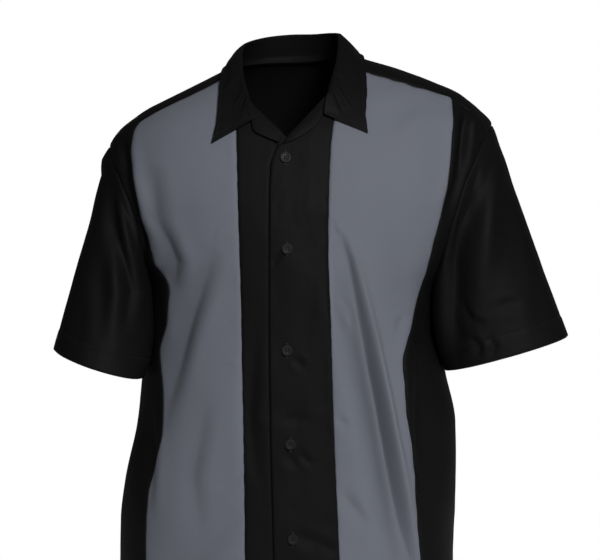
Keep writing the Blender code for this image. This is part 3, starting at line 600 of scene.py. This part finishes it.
# ------------------------------------------------------------------ centre strips of the fronts
# The two black strips beside the opening. The wearer's left one laps over the right, its edge is
# folded under and it carries the buttonholes; the right one carries the buttons.
FRONT_EDGE = in_metres({  # (z, x)
    LEFT: (
        (-107, -15), (-128, -22), (-283, -22.4), (-415, -21), (-547, -18), (-680, -14), (-790, -11),
    ),
    RIGHT: (
        (-107, 11), (-128, 18), (-283, 18), (-415, 19.5), (-547, 22), (-680, 25.5), (-790, 28),
    ),
})
EDGE_HEIGHTS = (-0.200, -0.150, -0.120, -0.105)  # between the underarm and the V
EDGE_STOPS = (0.0, 0.40, 0.60, 0.70, 0.76, 0.82, 1.0)  # the share of the top rows below each of them
V_POINT = (-0.0017, -0.0906)
NOTCH = {LEFT: (0.0455, -0.0400), RIGHT: (-0.0455, -0.0490)}
OVERLAP_LIFT, LAP_END, LAP_RAMP = 0.0022, 0.044, 0.020
LAP_FOLD = ((0.0009, 5.2), (0.0009, 0.8), (0.0005, -0.24))  # (under the strip, columns in from its edge)
LAPPED_HEM_INSET = 0.0011
TOP_ROWS = 84
STRIP_COLUMNS = 60

def lap_lift(x):
    """How far the upper strip stands off the lower one."""
    ramp = np.clip((LAP_END - x) / LAP_RAMP, 0.0, 1.0)
    return OVERLAP_LIFT * ramp * ramp * (3 - 2 * ramp)

def front_cloth_at(x, z):
    """Points on the outside of the lapped front, and the way they face."""
    x, z = np.asarray(x, float), np.asarray(z, float)
    plain = body_at(-1, turn_of_x(x, z), z)
    out = normal_at(plain)
    return plain + out * (lap_lift(x) + front_push(plain) + CLOTH)[..., None], out

for side, name, flat, area in ((LEFT, "left", (0.10, 0.74), 0.056), (RIGHT, "right", (0.09, 0.73), 0.055)):
    under, share = ARMHOLE[side][1], np.linspace(0, 1, TOP_ROWS + 1)
    seam_z = np.concatenate((low_rows(side), np.linspace(under, NOTCH[side][1] + 0.002, TOP_ROWS + 1)))
    outer = (turn_of_x(eased(INNER_SEAM[side], seam_z), seam_z), seam_z)
    heights = np.array((under,) + EDGE_HEIGHTS)
    top_x = np.concatenate((eased(FRONT_EDGE[side], heights), (V_POINT[0], NOTCH[side][0])))
    top_z = np.concatenate((heights, (V_POINT[1], NOTCH[side][1])))
    edge_x = np.concatenate((eased(FRONT_EDGE[side], low_rows(side)), np.interp(share, EDGE_STOPS, top_x)))
    edge_z = np.concatenate((low_rows(side), np.interp(share, EDGE_STOPS, top_z)))
    inner = (turn_of_x(edge_x, edge_z), edge_z)
    plain = between(-1, *(inner, outer)[::side], STRIP_COLUMNS)
    out = normal_at(plain)
    near, far = edge_distance(plain)
    from_edge, from_seam = (near, far)[::side]
    x, z = plain[..., 0], plain[..., 2]
    push = front_push(plain) + seam_dip(from_seam) + puckers(z, from_seam, 22.0 + side)
    if side == LEFT:
        push += lap_lift(x) + seam_dip(from_edge, 0.0005, 0.0012)
    else:
        # The free edge of the upper strip presses a shallow groove into this one.
        push += seam_dip(np.abs(x - eased(FRONT_EDGE[LEFT], z) + 0.0006), 0.0016, 0.0018)
    points = plain + out * push[..., None]
    if side == LEFT:
        # The free edge is folded under.
        fold = [points[:, :1] - out[:, :1] * deep + (points[:, 1:2] - points[:, :1]) * columns
                for deep, columns in LAP_FOLD]
        points = np.concatenate(fold + [points], axis=1)
        out = np.concatenate([out[:, :1]] * 3 + [out], axis=1)
    points = turned_hem(points, out, inset=LAPPED_HEM_INSET if side == LEFT else HEM_INSET)
    strip = laid_cloth(f"front_{name}_centre_cloth", points, black_poplin)
    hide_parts(f"front_{name}_centre")

# ------------------------------------------------------------------ sleeves
# Two short set-in sleeves of black poplin, wide and boxy, each with a hem 25 mm deep turned
# inside. They break into folds where they leave the armhole and crumple a little at the hem.
SLEEVE_HEM = {  # (outer point, inner point, reach to the front and back, drop at the front)
    LEFT: ((0.333, -0.024, -0.325), (0.1870, -0.020, -0.366), 0.058, 0.005),
    RIGHT: ((-0.279, -0.062, -0.341), (-0.1740, -0.066, -0.374), 0.060, 0.008),
}
SLEEVE_TURN, SLEEVE_HEM_INSET = 0.025, 0.0018
SLEEVE_DRAW_IN = 0.0015  # between the armhole and the hem
SLEEVE_HANG = 0.013  # under the arm it hangs in against the body
SLEEVE_FRONT_FOLDS = {  # (depth, half_width, lean, path as (x, z))
    LEFT: (
        (-5, 6.5, 0.2, (236, -82), (222, -118), (216, -150), (207, -180)),
        (-11, 11, -0.3, (216, -150), (204, -196), (197, -240), (196, -300), (200, -350)),
        (-3.4, 11, 0, (238, -105), (222, -160), (212, -215)),
        (3, 10, 0, (252, -110), (240, -180), (236, -260)),
        (-2.2, 14, 0.2, (262, -130), (268, -210), (282, -300)),
        (-3, 5.5, 0.3, (206, -286), (218, -306), (236, -313)),
        (-2.8, 5, 0.2, (216, -326), (228, -338), (226, -352)),
        (-2.2, 4.5, 0, (236, -326), (244, -338), (240, -350)),
        (-2, 6, 0.2, (246, -292), (262, -286), (276, -288)),
        (-1.8, 6, 0, (252, -86), (262, -112)),
        (-1.6, 9, 0, (292, -250), (300, -322)),
    ),
    RIGHT: (
        (-9, 8, 0.2, (-216, -112), (-205, -197), (-188, -274), (-196, -316)),
        (-4.6, 6.5, 0.2, (-207, -112), (-201, -155), (-190, -197), (-182, -236)),
        (3.4, 6, 0, (-211, -120), (-203, -175), (-190, -235)),
        (-6, 14, 0.2, (-222, -140), (-218, -230), (-226, -330)),
        (2.4, 11, 0, (-212, -205), (-206, -280), (-208, -350)),
        (-2, 8, 0, (-246, -270), (-252, -340)),
    ),
}
SLEEVE_BACK_FOLDS = {
    LEFT: (
        (-5, 10, 0.2, (226, -110), (206, -180), (196, -260)),
        (-3, 14, 0, (250, -140), (250, -230), (264, -320)),
        (-2.4, 9, 0, (222, -230), (228, -330)),
    ),
    RIGHT: (
        (-4.8, 10, 0.2, (-206, -130), (-192, -200), (-186, -280)),
        (-2.8, 13, 0, (-226, -160), (-226, -250), (-238, -330)),
        (-2.2, 9, 0, (-200, -250), (-204, -350)),
    ),
}
SLEEVE_ROUND, SLEEVE_ROWS = 200, 110

def facing_way(points):
    """The way that each crossing of a closed ring of cloth faces."""
    across = np.roll(points[:, :-1], -1, axis=1) - np.roll(points[:, :-1], 1, axis=1)
    across = np.concatenate((across, across[:, :1]), axis=1)
    return made_unit(np.cross(across, np.gradient(points, axis=0)))

sleeve_surface = {}
for side, name in SIDES:
    outer_point, inner_point, reach, drop = SLEEVE_HEM[side]
    outer_point, inner_point = np.array(outer_point), np.array(inner_point)
    middle, towards = (outer_point + inner_point) / 2, (outer_point - inner_point) / 2
    forward = np.array((0.0, -reach, -drop))
    angle = np.linspace(0.0, math.tau, SLEEVE_ROUND + 1)[::-side]
    start = armhole_at(side, angle)
    centre = start[:-1].mean(axis=0)
    end = middle + towards * np.cos(angle)[:, None] + forward * np.sin(angle)[:, None]
    t = np.linspace(1.0, 0.0, SLEEVE_ROWS + 1)[:, None, None]
    plain = start + (end - start) * t
    spine = centre + (middle - centre) * t
    spoke = made_unit(plain - spine)
    under_arm = np.clip(-np.cos(angle), 0, 1)[None, :, None] ** 1.5
    plain = plain - spoke * (SLEEVE_DRAW_IN * np.sin(math.pi * t))
    plain = plain - np.array((side, 0.0, 0.0)) * (SLEEVE_HANG * under_arm * np.sin(math.pi * t))
    span = np.linalg.norm(end - start, axis=-1)
    from_hem, from_arm = (1 - t[..., 0]) * span, t[..., 0] * span
    x, z = plain[..., 0], plain[..., 2]
    ahead = 1 / (1 + np.exp((plain[..., 1] - spine[..., 1]) / 0.006))
    in_front, behind = creased(x, z, SLEEVE_FRONT_FOLDS[side]), creased(x, z, SLEEVE_BACK_FOLDS[side])
    push = in_front * ahead + behind * (1 - ahead)
    push += rumpled(plain, 30.0 + side, 0.0011, 0.060) + hem_ridge(from_hem, SLEEVE_TURN)
    run = angle[None, :] * 0.07 + 0 * x
    push += puckers(run, from_arm, 33.0, 0.0006) + puckers(run, from_hem - SLEEVE_TURN, 35.0, 0.0004)
    push = push * np.clip(from_arm / 0.012, 0.15, 1.0) + seam_dip(from_arm, 0.0010, 0.0040)
    points = plain + spoke * push[..., None]
    points = clear_of_body(points, -0.0008 + 0.0046 * np.clip(from_arm / 0.016, 0, 1))
    points[:, -1] = points[:, 0]
    out = facing_way(points)
    sleeve_surface[side] = (points, out, span)
    # Beyond the seam the allowance turns in under the body's pieces.
    under = on_form(points[-1])
    inward = made_unit(centre - under)
    points = np.concatenate((points, allowance(under, under - inward, normal_at(under))))
    out = np.concatenate((out, out[-1:], out[-1:]))
    points = turned_hem(points, out, SLEEVE_TURN, SLEEVE_HEM_INSET)
    sleeve = laid_cloth(f"sleeve_{name}_cloth", points, black_poplin, closed=True)
    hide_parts(f"sleeve_{name}")

# ------------------------------------------------------------------ lapels
# The tops of the two fronts, turned back on themselves below the collar so that their facings
# show. The wearer's left one passes over the right one at the point of the V.
LAPEL_EDGE = in_metres({  # (x, z) from the notch down to the point
    LEFT: (
        (40, -57.5), (38.4, -67), (30, -79.5), (10, -92.5), (-6, -99),
    ),
    RIGHT: (
        (-44, -56), (-44, -68), (-41.2, -83), (-26.2, -91.2), (-12, -96.8),
    ),
})
LAPEL_LIFT = {LEFT: (0.0036, 0.0052), RIGHT: (0.0018, 0.0036)}
LAPEL_END = {LEFT: 0.97, RIGHT: 0.88}

for side, name in SIDES:
    t, r = np.linspace(0, 1, 60)[:, None], np.linspace(0, 1, 22)[None, :]
    roll_x = NOTCH[side][0] + (V_POINT[0] - NOTCH[side][0]) * t * LAPEL_END[side]
    roll_z = NOTCH[side][1] + (V_POINT[1] - NOTCH[side][1]) * t * LAPEL_END[side]
    edge = spline(LAPEL_EDGE[side], t[:, 0])
    x = roll_x + (edge[:, :1] - roll_x) * r
    z = roll_z + (edge[:, 1:] - roll_z) * r
    plain = body_at(-1, turn_of_x(x, z), z)
    near, far = LAPEL_LIFT[side]
    lift = near + (far - near) * r + 0.0012 * np.sin(math.pi * r) * np.sin(math.pi * t)
    points = plain + normal_at(plain) * lift[..., None]
    if side == LEFT:
        points = points[:, ::-1]
    lapel = laid_cloth(f"lapel_{name}_cloth", points, black_poplin)
    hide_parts(f"lapel_{name}")

# ------------------------------------------------------------------ collar
# One double, lightly stiffened piece: a low stand sewn round the neck, a soft roll, and the leaf
# that falls over it to two points. A row of stitching follows the leaf's edge.
ROLL = in_metres({  # the top of the roll at each station of the neck seam
    LEFT: (
        (46.2, -93, -36.9), (48.6, -88, -30.9), (51, -80, -23.1), (54.6, -66, -9.2), (57.6, -49, 3.7),
        (60, -27, 21.2), (60.5, 0, 35.1), (51.7, 26, 37.8), (29.5, 46, 36.9),
    ),
    RIGHT: (
        (-46.2, -97, -46.2), (-48.6, -92, -40.6), (-51, -84.5, -33.2), (-54, -70.5, -20.3),
        (-55.9, -53, -7.4), (-57, -29, 7.4), (-57.2, 0, 18.5), (-48.9, 26, 26.8), (-27.7, 46, 33.2),
    ),
})
ROLL_MIDDLE = (0.0009, 0.0520, 0.0365)
LEAF_EDGE = in_metres({  # the leaf's edge at the same stations; the third is its point
    LEFT: (
        (41.6, -107, -61.9), (67.2, -108, -73.8), (92.8, -106, -84.8), (91.9, -93, -57.6),
        (91.5, -74, -29.5), (90.6, -44, -4.6), (87.7, 0, 11.1), (76.6, 50, 9.2), (43.4, 80, 0),
    ),
    RIGHT: (
        (-40.8, -109, -66.8), (-66, -111, -82.8), (-90.5, -107, -97.8), (-85.6, -96, -66.8),
        (-83.1, -77, -40.6), (-81.2, -45, -17.5), (-76.6, 0, -1.8), (-69.2, 50, -2.8), (-39.7, 80, -4.6),
    ),
})
LEAF_EDGE_MIDDLE = (0.0018, 0.0870, -0.0028)
ROLL_RADIUS = 0.0030
COLLAR_THICKNESS = 0.0016
COLLAR_STITCH_IN = 0.0055
LEAF_CREASES = (  # (place along the collar, depth, width along it)
    (0.060, -0.0016, 0.011), (0.104, 0.0022, 0.012), (0.150, -0.0024, 0.014), (0.215, 0.0020, 0.020),
    (0.330, -0.0014, 0.024), (0.500, 0.0012, 0.040), (0.660, -0.0014, 0.024), (0.785, 0.0020, 0.020),
    (0.848, -0.0026, 0.014), (0.894, 0.0024, 0.012), (0.938, -0.0018, 0.010),
)

def round_the_neck(table, middle):
    return np.array(table[LEFT] + (middle,) + table[RIGHT][::-1])

PER_STATION = 12
ROWS_BETWEEN = (10, 4, 4, 5, 9, 9, 9)  # rows of cloth from each line of the collar's shape to the next
edges = round_the_neck(LEAF_EDGE, LEAF_EDGE_MIDDLE)
t = np.linspace(0, 1, (len(edges) - 1) * PER_STATION + 1)
seam = spline(round_the_neck(NECK_SEAM, NECK_MIDDLE), t)
roll = spline(round_the_neck(ROLL, ROLL_MIDDLE), t)
straight = 2 * PER_STATION
edge = np.empty_like(seam)
edge[straight:-straight] = spline(edges[2:-2], np.linspace(0, 1, len(t) - 2 * straight))
ramp = np.linspace(0, 1, straight + 1)[:, None]
edge[:straight + 1] = edges[0] + (edges[2] - edges[0]) * ramp
edge[-straight - 1:] = edges[-3] + (edges[-1] - edges[-3]) * ramp
rise, fall = made_unit(roll - seam), made_unit(edge - roll)
out = made_unit(fall * (1, 1, 0))
stand_top = roll - out * ROLL_RADIUS - rise * ROLL_RADIUS
leaf_top = roll + out * ROLL_RADIUS + fall * ROLL_RADIUS * 0.6
shape = np.stack([
    clear_of_body(seam, 0.0012),
    stand_top,
    roll - out * ROLL_RADIUS * 0.5,
    roll + out * ROLL_RADIUS * 0.5,
    leaf_top,
    leaf_top + (edge - leaf_top) * 0.33 + out * 0.0012,
    leaf_top + (edge - leaf_top) * 0.67 + out * 0.0012,
    edge,
], axis=1)
last = len(ROWS_BETWEEN)
place = np.concatenate([np.linspace(a, a + 1, n + 1)[:-1] for a, n in enumerate(ROWS_BETWEEN)] + [[last]])
points = np.stack([spline(station, place / last) for station in shape])
x = points[..., 0]
on_leaf = np.clip((place - 3.6) / 0.8, 0, 1)[None, :]
creases = sum(deep * np.exp(-(((t[:, None] - at) / wide) ** 2)) for at, deep, wide in LEAF_CREASES)
swell = np.sin(math.pi * np.clip((place - 3.2) / 4.6, 0, 1))[None, :]
points += out[:, None] * ((rumpled(points, 41.0, 0.0020, 0.026) + creases * swell) * on_leaf)[..., None]
gap = 0.0074 - 0.0028 * np.clip((np.abs(x) - 0.048) / 0.02, 0, 1)
points = points + (clear_of_body(points, gap) - points) * on_leaf[..., None]
base = on_form(seam)
way = normal_at(base)
inside_neck = base * (1, 1, 0)
inside_neck = base - made_unit(inside_neck - way * (inside_neck * way).sum(axis=1, keepdims=True))
points = np.concatenate((np.stack(allowance(base, inside_neck, way)[::-1], axis=1), points), axis=1)
collar = laid_cloth("collar_cloth", points, black_poplin,
                    thickness=COLLAR_THICKNESS, outward=-1.0)
softened = collar.modifiers.new("edge", "BEVEL")
softened.width, softened.segments, softened.limit_method = 0.0005, 2, "ANGLE"
softened.angle_limit = math.radians(50)
bpy.context.view_layer.objects.active = collar
bpy.ops.object.modifier_apply(modifier=softened.name)
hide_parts("collar")

STITCH_PITCH, STITCH_LENGTH, STITCH_GAUGE = 0.0030, 0.0022, 0.00036

def along_run(run, values, places):
    return np.stack([np.interp(places, run, values[:, k]) for k in range(3)], axis=1)

def stitched(name, path, facing, on):
    """A row of stitches pressed into the cloth: each is a small thread with pointed ends."""
    tree = on_cloth(on)
    run = edge_distance(path[None])[0][0]
    places = np.arange(STITCH_PITCH / 2, run[-1], STITCH_PITCH)
    spots, ways = along_run(run, path, places), along_run(run, facing, places)
    ahead = along_run(run, path, places + 0.0004) - spots
    corners, faces = [], []
    for spot, way, along in zip(spots, ways, ahead):
        found, normal = nearest_facing(tree, spot, way)
        if found is None:
            continue
        along = Vector(along)
        along = (along - normal * along.dot(normal)).normalized()
        over = normal.cross(along)
        base = len(corners)
        tip = along * STITCH_LENGTH / 2
        corners.append(found - tip - normal * 0.0001)
        for end in (-0.64, 0.64):
            for a, b in ((-1, 0.0), (0, 0.75), (1, 0.0)):
                corners.append(found + tip * end + (over * a / 2 + normal * b) * STITCH_GAUGE)
        corners.append(found + tip - normal * 0.0001)
        faces += [(base, base + 2, base + 1), (base, base + 3, base + 2),
                  (base + 1, base + 2, base + 5, base + 4), (base + 2, base + 3, base + 6, base + 5),
                  (base + 7, base + 4, base + 5), (base + 7, base + 5, base + 6),
                  (base, base + 1, base + 4, base + 7, base + 6, base + 3)]
    mesh = bpy.data.meshes.new(name)
    mesh.from_pydata(corners, [], faces)
    row = bpy.data.objects.new(name, mesh)
    bpy.context.scene.collection.objects.link(row)
    mesh.materials.append(thread)
    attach(row, "root")
    return row

def on_cloth(pieces):
    """A search tree over the faces of some pieces of cloth."""
    gathered = bmesh.new()
    for piece in pieces:
        gathered.from_mesh(piece.data)
    tree = BVHTree.FromBMesh(gathered)
    gathered.free()
    return tree

def nearest_facing(tree, spot, way):
    """The cloth's outer surface straight under a place that stands off it."""
    way = Vector(way).normalized()
    found, normal, _, _ = tree.ray_cast(Vector(spot) + way * 0.006, -way, 0.022)
    if found is None or normal.dot(way) < 0.1:
        return None, None
    return found, normal

def sewing_thread(name, colour):
    """Matt twisted thread in the cloth's own colour."""
    made, tree, shader, kit = new_finish(name)
    twist = Finish(tree, kit.node("ShaderNodeTexCoord").outputs["Object"]).speckle(Scale=2400.0, Detail=1.0)
    tree.links.new((twist * 0.2 + 0.55).socket, shader.inputs["Roughness"])
    embossed(kit, shader, twist, 0.4, 0.0001)
    shader.inputs["Base Color"].default_value = colour
    shader.inputs["Specular IOR Level"].default_value = 0.3
    return made

thread = sewing_thread("black_thread", (0.012, 0.012, 0.013, 1.0))
outward = made_unit(np.cross(fall, np.gradient(edge, axis=0)))
long_edge = edge[straight:-straight] - fall[straight:-straight] * COLLAR_STITCH_IN
rows = [(long_edge, outward[straight:-straight])]
for a, b, inside, way in ((edge[0], edge[straight], -fall[straight], outward[straight // 2]),
                          (edge[-1], edge[-1 - straight], -fall[-1 - straight], outward[-1 - straight // 2])):
    along = made_unit(b - a)
    inside = made_unit(inside - along * (inside @ along))
    share = np.linspace(0.10, 0.90, 40)[:, None]
    rows.append((a + (b - a) * share + inside * COLLAR_STITCH_IN, np.repeat(way[None], 40, axis=0)))
collar_stitching = [
    stitched(f"collar_stitching_{i}", path, way, [collar]) for i, (path, way) in enumerate(rows)
]

# ------------------------------------------------------------------ hem stitching
# One row of stitches holds each turned hem: round both sleeves and round the bottom of the body.
for side, name in SIDES:
    points, out, span = sleeve_surface[side]
    share = np.clip(SLEEVE_TURN / span, 0, 1) * (len(points) - 1)
    low = share.astype(int)
    columns = np.arange(points.shape[1])
    f = (share - low)[:, None]
    path = points[low, columns] * (1 - f) + points[low + 1, columns] * f
    sleeve = bpy.data.objects[f"sleeve_{name}_cloth"]
    stitched(f"sleeve_{name}_hem_stitching", path, out[low, columns], [sleeve])

body_pieces = [bpy.data.objects[n] for n in (
    "back_cloth", "front_left_side_cloth", "front_left_insert_cloth", "front_left_centre_cloth",
    "front_right_centre_cloth", "front_right_insert_cloth", "front_right_side_cloth",
)]
turn = np.linspace(-0.995, 0.995, 400)
for face, name in ((1, "back"), (-1, "front")):
    path = body_at(face, turn, HEM_Z + HEM_TURN - 0.001)
    stitched(f"{name}_hem_stitching", path, normal_at(path), body_pieces)

# ------------------------------------------------------------------ buttons and buttonholes
# Six black four-hole buttons, pressed from polyester: a raised rim round a shallow dish. Each is
# sewn to the right front with two bars of thread and pokes through an upright worked buttonhole.
BUTTON_RADIUS = 0.0061
BUTTON_THICKNESS = 0.0024
BUTTON_RIM = 0.0012
BUTTON_DISH = 0.0007
BUTTON_HOLE = 0.00085
BUTTON_HOLE_OFF_CENTRE = 0.00125
BUTTON_STANDOFF = 0.0006
BUTTONHOLE_LENGTH = 0.0170
BUTTONHOLE_WIDTH = 0.0026
BUTTONHOLE_STITCHES = 26
BUTTONS = (  # (x, z, tilt in degrees)
    (-0.0040, -0.1150, 3.0), (-0.0020, -0.2230, -2.0), (-0.0020, -0.3430, 4.0),
    (0.0020, -0.4540, -3.0), (0.0050, -0.5660, 2.0), (0.0085, -0.6780, -1.0),
)

def button_plastic(name, colour):
    """Polished polyester with a faint swirl and a fine grain."""
    made, tree, shader, kit = new_finish(name)
    place = Finish(tree, kit.node("ShaderNodeTexCoord").outputs["Object"])
    swirl = place.speckle(Scale=260.0, Detail=3.0, Distortion=1.5)
    grain = place.speckle(Scale=1900.0, Detail=2.0)
    paler = tuple(c * 1.9 for c in colour[:3]) + (1.0,)
    mixed = kit.node("ShaderNodeMix", [("data_type", "RGBA")], _0=swirl, _6=colour, _7=paler)
    tree.links.new(mixed.outputs[2], shader.inputs["Base Color"])
    tree.links.new((grain * 0.16 + 0.34).socket, shader.inputs["Roughness"])
    embossed(kit, shader, grain, 0.15, 0.00005)
    shader.inputs["Specular IOR Level"].default_value = 0.12
    return made

black_button = button_plastic("black_button", (0.006, 0.006, 0.007, 1.0))

def turned_button():
    """One button at the origin, its dish facing +Z and its underside at z = 0."""
    bpy.ops.object.select_all(action="DESELECT")
    bpy.ops.mesh.primitive_cylinder_add(
        vertices=56, radius=BUTTON_RADIUS, depth=BUTTON_THICKNESS, location=(0, 0, BUTTON_THICKNESS / 2),
    )
    disc = bpy.context.object
    bpy.ops.object.transform_apply(location=True, rotation=True, scale=True)
    bpy.ops.object.mode_set(mode="EDIT")
    bpy.ops.mesh.select_all(action="DESELECT")
    shape = bmesh.from_edit_mesh(disc.data)
    for face in shape.faces:
        face.select_set(face.normal.z > 0.9)
    bmesh.update_edit_mesh(disc.data)
    bpy.ops.mesh.inset(thickness=BUTTON_RIM)
    bpy.ops.mesh.inset(thickness=0.0007, depth=-BUTTON_DISH)
    bpy.ops.object.mode_set(mode="OBJECT")
    bpy.ops.object.select_all(action="DESELECT")
    drills = []
    for a, b in ((1, 1), (-1, 1), (-1, -1), (1, -1)):
        bpy.ops.mesh.primitive_cylinder_add(
            vertices=20, radius=BUTTON_HOLE, depth=BUTTON_THICKNESS * 4,
            location=(a * BUTTON_HOLE_OFF_CENTRE, b * BUTTON_HOLE_OFF_CENTRE, 0),
        )
        drills.append(bpy.context.object)
    for drill in drills:
        cut = disc.modifiers.new("hole", "BOOLEAN")
        cut.operation, cut.object, cut.solver = "DIFFERENCE", drill, "EXACT"
        bpy.context.view_layer.objects.active = disc
        bpy.ops.object.modifier_apply(modifier=cut.name)
    for drill in drills:
        bpy.data.objects.remove(drill)
    rounding = disc.modifiers.new("edges", "BEVEL")
    rounding.width, rounding.segments, rounding.limit_method = 0.00028, 3, "ANGLE"
    rounding.angle_limit = math.radians(35)
    bpy.context.view_layer.objects.active = disc
    disc.select_set(True)
    bpy.ops.object.modifier_apply(modifier=rounding.name)
    bpy.ops.object.shade_smooth_by_angle(angle=math.radians(40))
    disc.data.materials.append(black_button)
    return disc

def thread_bar(start, end, bow, gauge, sides=7, steps=8):
    """A short round thread that bows up between its ends, as rings of points."""
    up = Vector((0, 0, 1))
    path = [start.lerp(end, k / steps) + up * (bow * math.sin(math.pi * k / steps)) for k in range(steps + 1)]
    over = up.cross((end - start).normalized()).normalized()
    rings = [[p + (over * math.cos(a) + up * math.sin(a)) * gauge / 2
              for a in (math.tau * i / sides for i in range(sides))] for p in path]
    faces = [(r + i, r + (i + 1) % sides, r + sides + (i + 1) % sides, r + sides + i)
             for r in range(0, steps * sides, sides) for i in range(sides)]
    faces += [tuple(range(sides))[::-1], tuple(steps * sides + i for i in range(sides))]
    return [p for ring in rings for p in ring], faces

def threads_mesh(name, bars):
    points, faces = [], []
    for bar_points, bar_faces in bars:
        faces += [tuple(i + len(points) for i in face) for face in bar_faces]
        points += bar_points
    mesh = bpy.data.meshes.new(name)
    mesh.from_pydata(points, [], faces)
    mesh.shade_smooth()
    tidy = bmesh.new()
    tidy.from_mesh(mesh)
    bmesh.ops.recalc_face_normals(tidy, faces=tidy.faces)
    tidy.to_mesh(mesh)
    tidy.free()
    mesh.materials.append(thread)
    made = bpy.data.objects.new(name, mesh)
    bpy.context.scene.collection.objects.link(made)
    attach(made, "root")
    return made

pattern = turned_button()
top = BUTTON_THICKNESS - BUTTON_DISH
sewing = []
for row in (-1, 1):
    for strand in (-0.00028, 0.0, 0.00028):
        y = row * BUTTON_HOLE_OFF_CENTRE + strand
        ends = [Vector((s * BUTTON_HOLE_OFF_CENTRE, y, top - 0.0007)) for s in (-1, 1)]
        sewing.append(thread_bar(*ends, 0.00115 - abs(strand), 0.00034))
reach = BUTTONHOLE_WIDTH / 2
edging = []
for k in range(BUTTONHOLE_STITCHES + 1):
    y = (k / BUTTONHOLE_STITCHES - 0.5) * (BUTTONHOLE_LENGTH - 0.002)
    for s in (-1, 1):
        inner = Vector((s * 0.00018, y, 0.00002))
        outer = Vector((s * reach, y + 0.00008 * math.sin(k * 1.7), 0.00002))
        edging.append(thread_bar(inner, outer, 0.00018, 0.00042, sides=5, steps=3))
for end in (-1, 1):
    for k in range(4):
        y = end * (BUTTONHOLE_LENGTH / 2 - 0.0009 + 0.0003 * k)
        ends = [Vector((s * reach, y, 0)) for s in (-1, 1)]
        edging.append(thread_bar(*ends, 0.0003, 0.00040, sides=5, steps=5))
for number, (x, z, tilt) in enumerate(BUTTONS, 1):
    base, out = front_cloth_at(x, z)
    base, out = Vector(base), Vector(out)
    place = out.to_track_quat("Z", "Y").to_matrix().to_4x4() @ Matrix.Rotation(math.radians(tilt), 4, "Z")
    place.translation = base
    raised = place @ Matrix.Translation((0, 0, BUTTON_STANDOFF))
    disc = bpy.data.objects.new(f"button_{number}_disc", pattern.data.copy())
    bpy.context.scene.collection.objects.link(disc)
    disc.data.transform(raised)
    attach(disc, "root")
    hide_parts(f"button_{number}")
    sewn = threads_mesh(f"button_{number}_thread", sewing)
    sewn.data.transform(raised)
    worked = threads_mesh(f"buttonhole_{number}", edging)
    worked.data.transform(out.to_track_quat("Z", "Y").to_matrix().to_4x4())
    worked.data.transform(Matrix.Translation(base))
bpy.data.objects.remove(pattern)

# ------------------------------------------------------------------ floor, light and camera
# A plain pale floor under the shirt, large soft lights and a camera square to the front.
bpy.ops.object.select_all(action="DESELECT")
bpy.ops.mesh.primitive_plane_add(size=1.0)
floor = bpy.context.object
floor.name = "floor"
FLOOR_WIDTH, FLOOR_DEPTH, FLOOR_Z = 2.6, 1.7, -0.7745
for vertex in floor.data.vertices:
    vertex.co = (vertex.co.x * FLOOR_WIDTH, vertex.co.y * FLOOR_DEPTH - 0.05, FLOOR_Z)
pale = bpy.data.materials.new("pale_floor")
pale.use_nodes = True
pale.node_tree.nodes["Principled BSDF"].inputs["Base Color"].default_value = (0.86, 0.86, 0.86, 1)
pale.node_tree.nodes["Principled BSDF"].inputs["Roughness"].default_value = 0.9
floor.data.materials.append(pale)

bpy.context.scene.view_settings.view_transform = "Standard"
world = bpy.data.worlds.new("studio")
bpy.context.scene.world = world
world.use_nodes = True
backdrop = world.node_tree.nodes["Background"]
backdrop.inputs["Color"].default_value = (1.0, 1.0, 1.0, 1.0)
seen = world.node_tree.nodes.new("ShaderNodeLightPath")
dimmed = world.node_tree.nodes.new("ShaderNodeMapRange")
dimmed.inputs["To Min"].default_value = 0.09
world.node_tree.links.new(seen.outputs["Is Camera Ray"], dimmed.inputs["Value"])
world.node_tree.links.new(dimmed.outputs["Result"], backdrop.inputs["Strength"])

SOFT_LIGHTS = (  # (name, x, y, z, size, power)
    ("key", 0.74, -2.30, 0.90, 0.6, 66.0),
    ("fill", -0.90, -2.60, 0.10, 1.6, 4.0),
    ("back", 1.55, 2.20, 0.30, 0.6, 165.0),
    ("far_back", -1.20, 2.60, 0.00, 1.6, 30.0),
    ("overhead", 0.00, 0.40, 2.20, 1.6, 9.0),
)
for name, x, y, z, size, power in SOFT_LIGHTS:
    lamp = bpy.data.lights.new(name, "AREA")
    lamp.size, lamp.energy = size, power
    holder = bpy.data.objects.new(name, lamp)
    bpy.context.scene.collection.objects.link(holder)
    holder.location = (x, y, z)
    holder.visible_glossy = y < 0
    holder.rotation_euler = (Vector((0, 0, -0.28)) - holder.location).to_track_quat("-Z", "Y").to_euler()

lens = bpy.data.cameras.new("camera")
lens.lens, lens.sensor_width = 500.0, 36.0
camera = bpy.data.objects.new("camera", lens)
bpy.context.scene.collection.objects.link(camera)
camera.location = (0.0132, -10.0, -0.2592)
camera.rotation_euler = (math.pi / 2, 0.0, 0.0)
bpy.context.scene.camera = camera
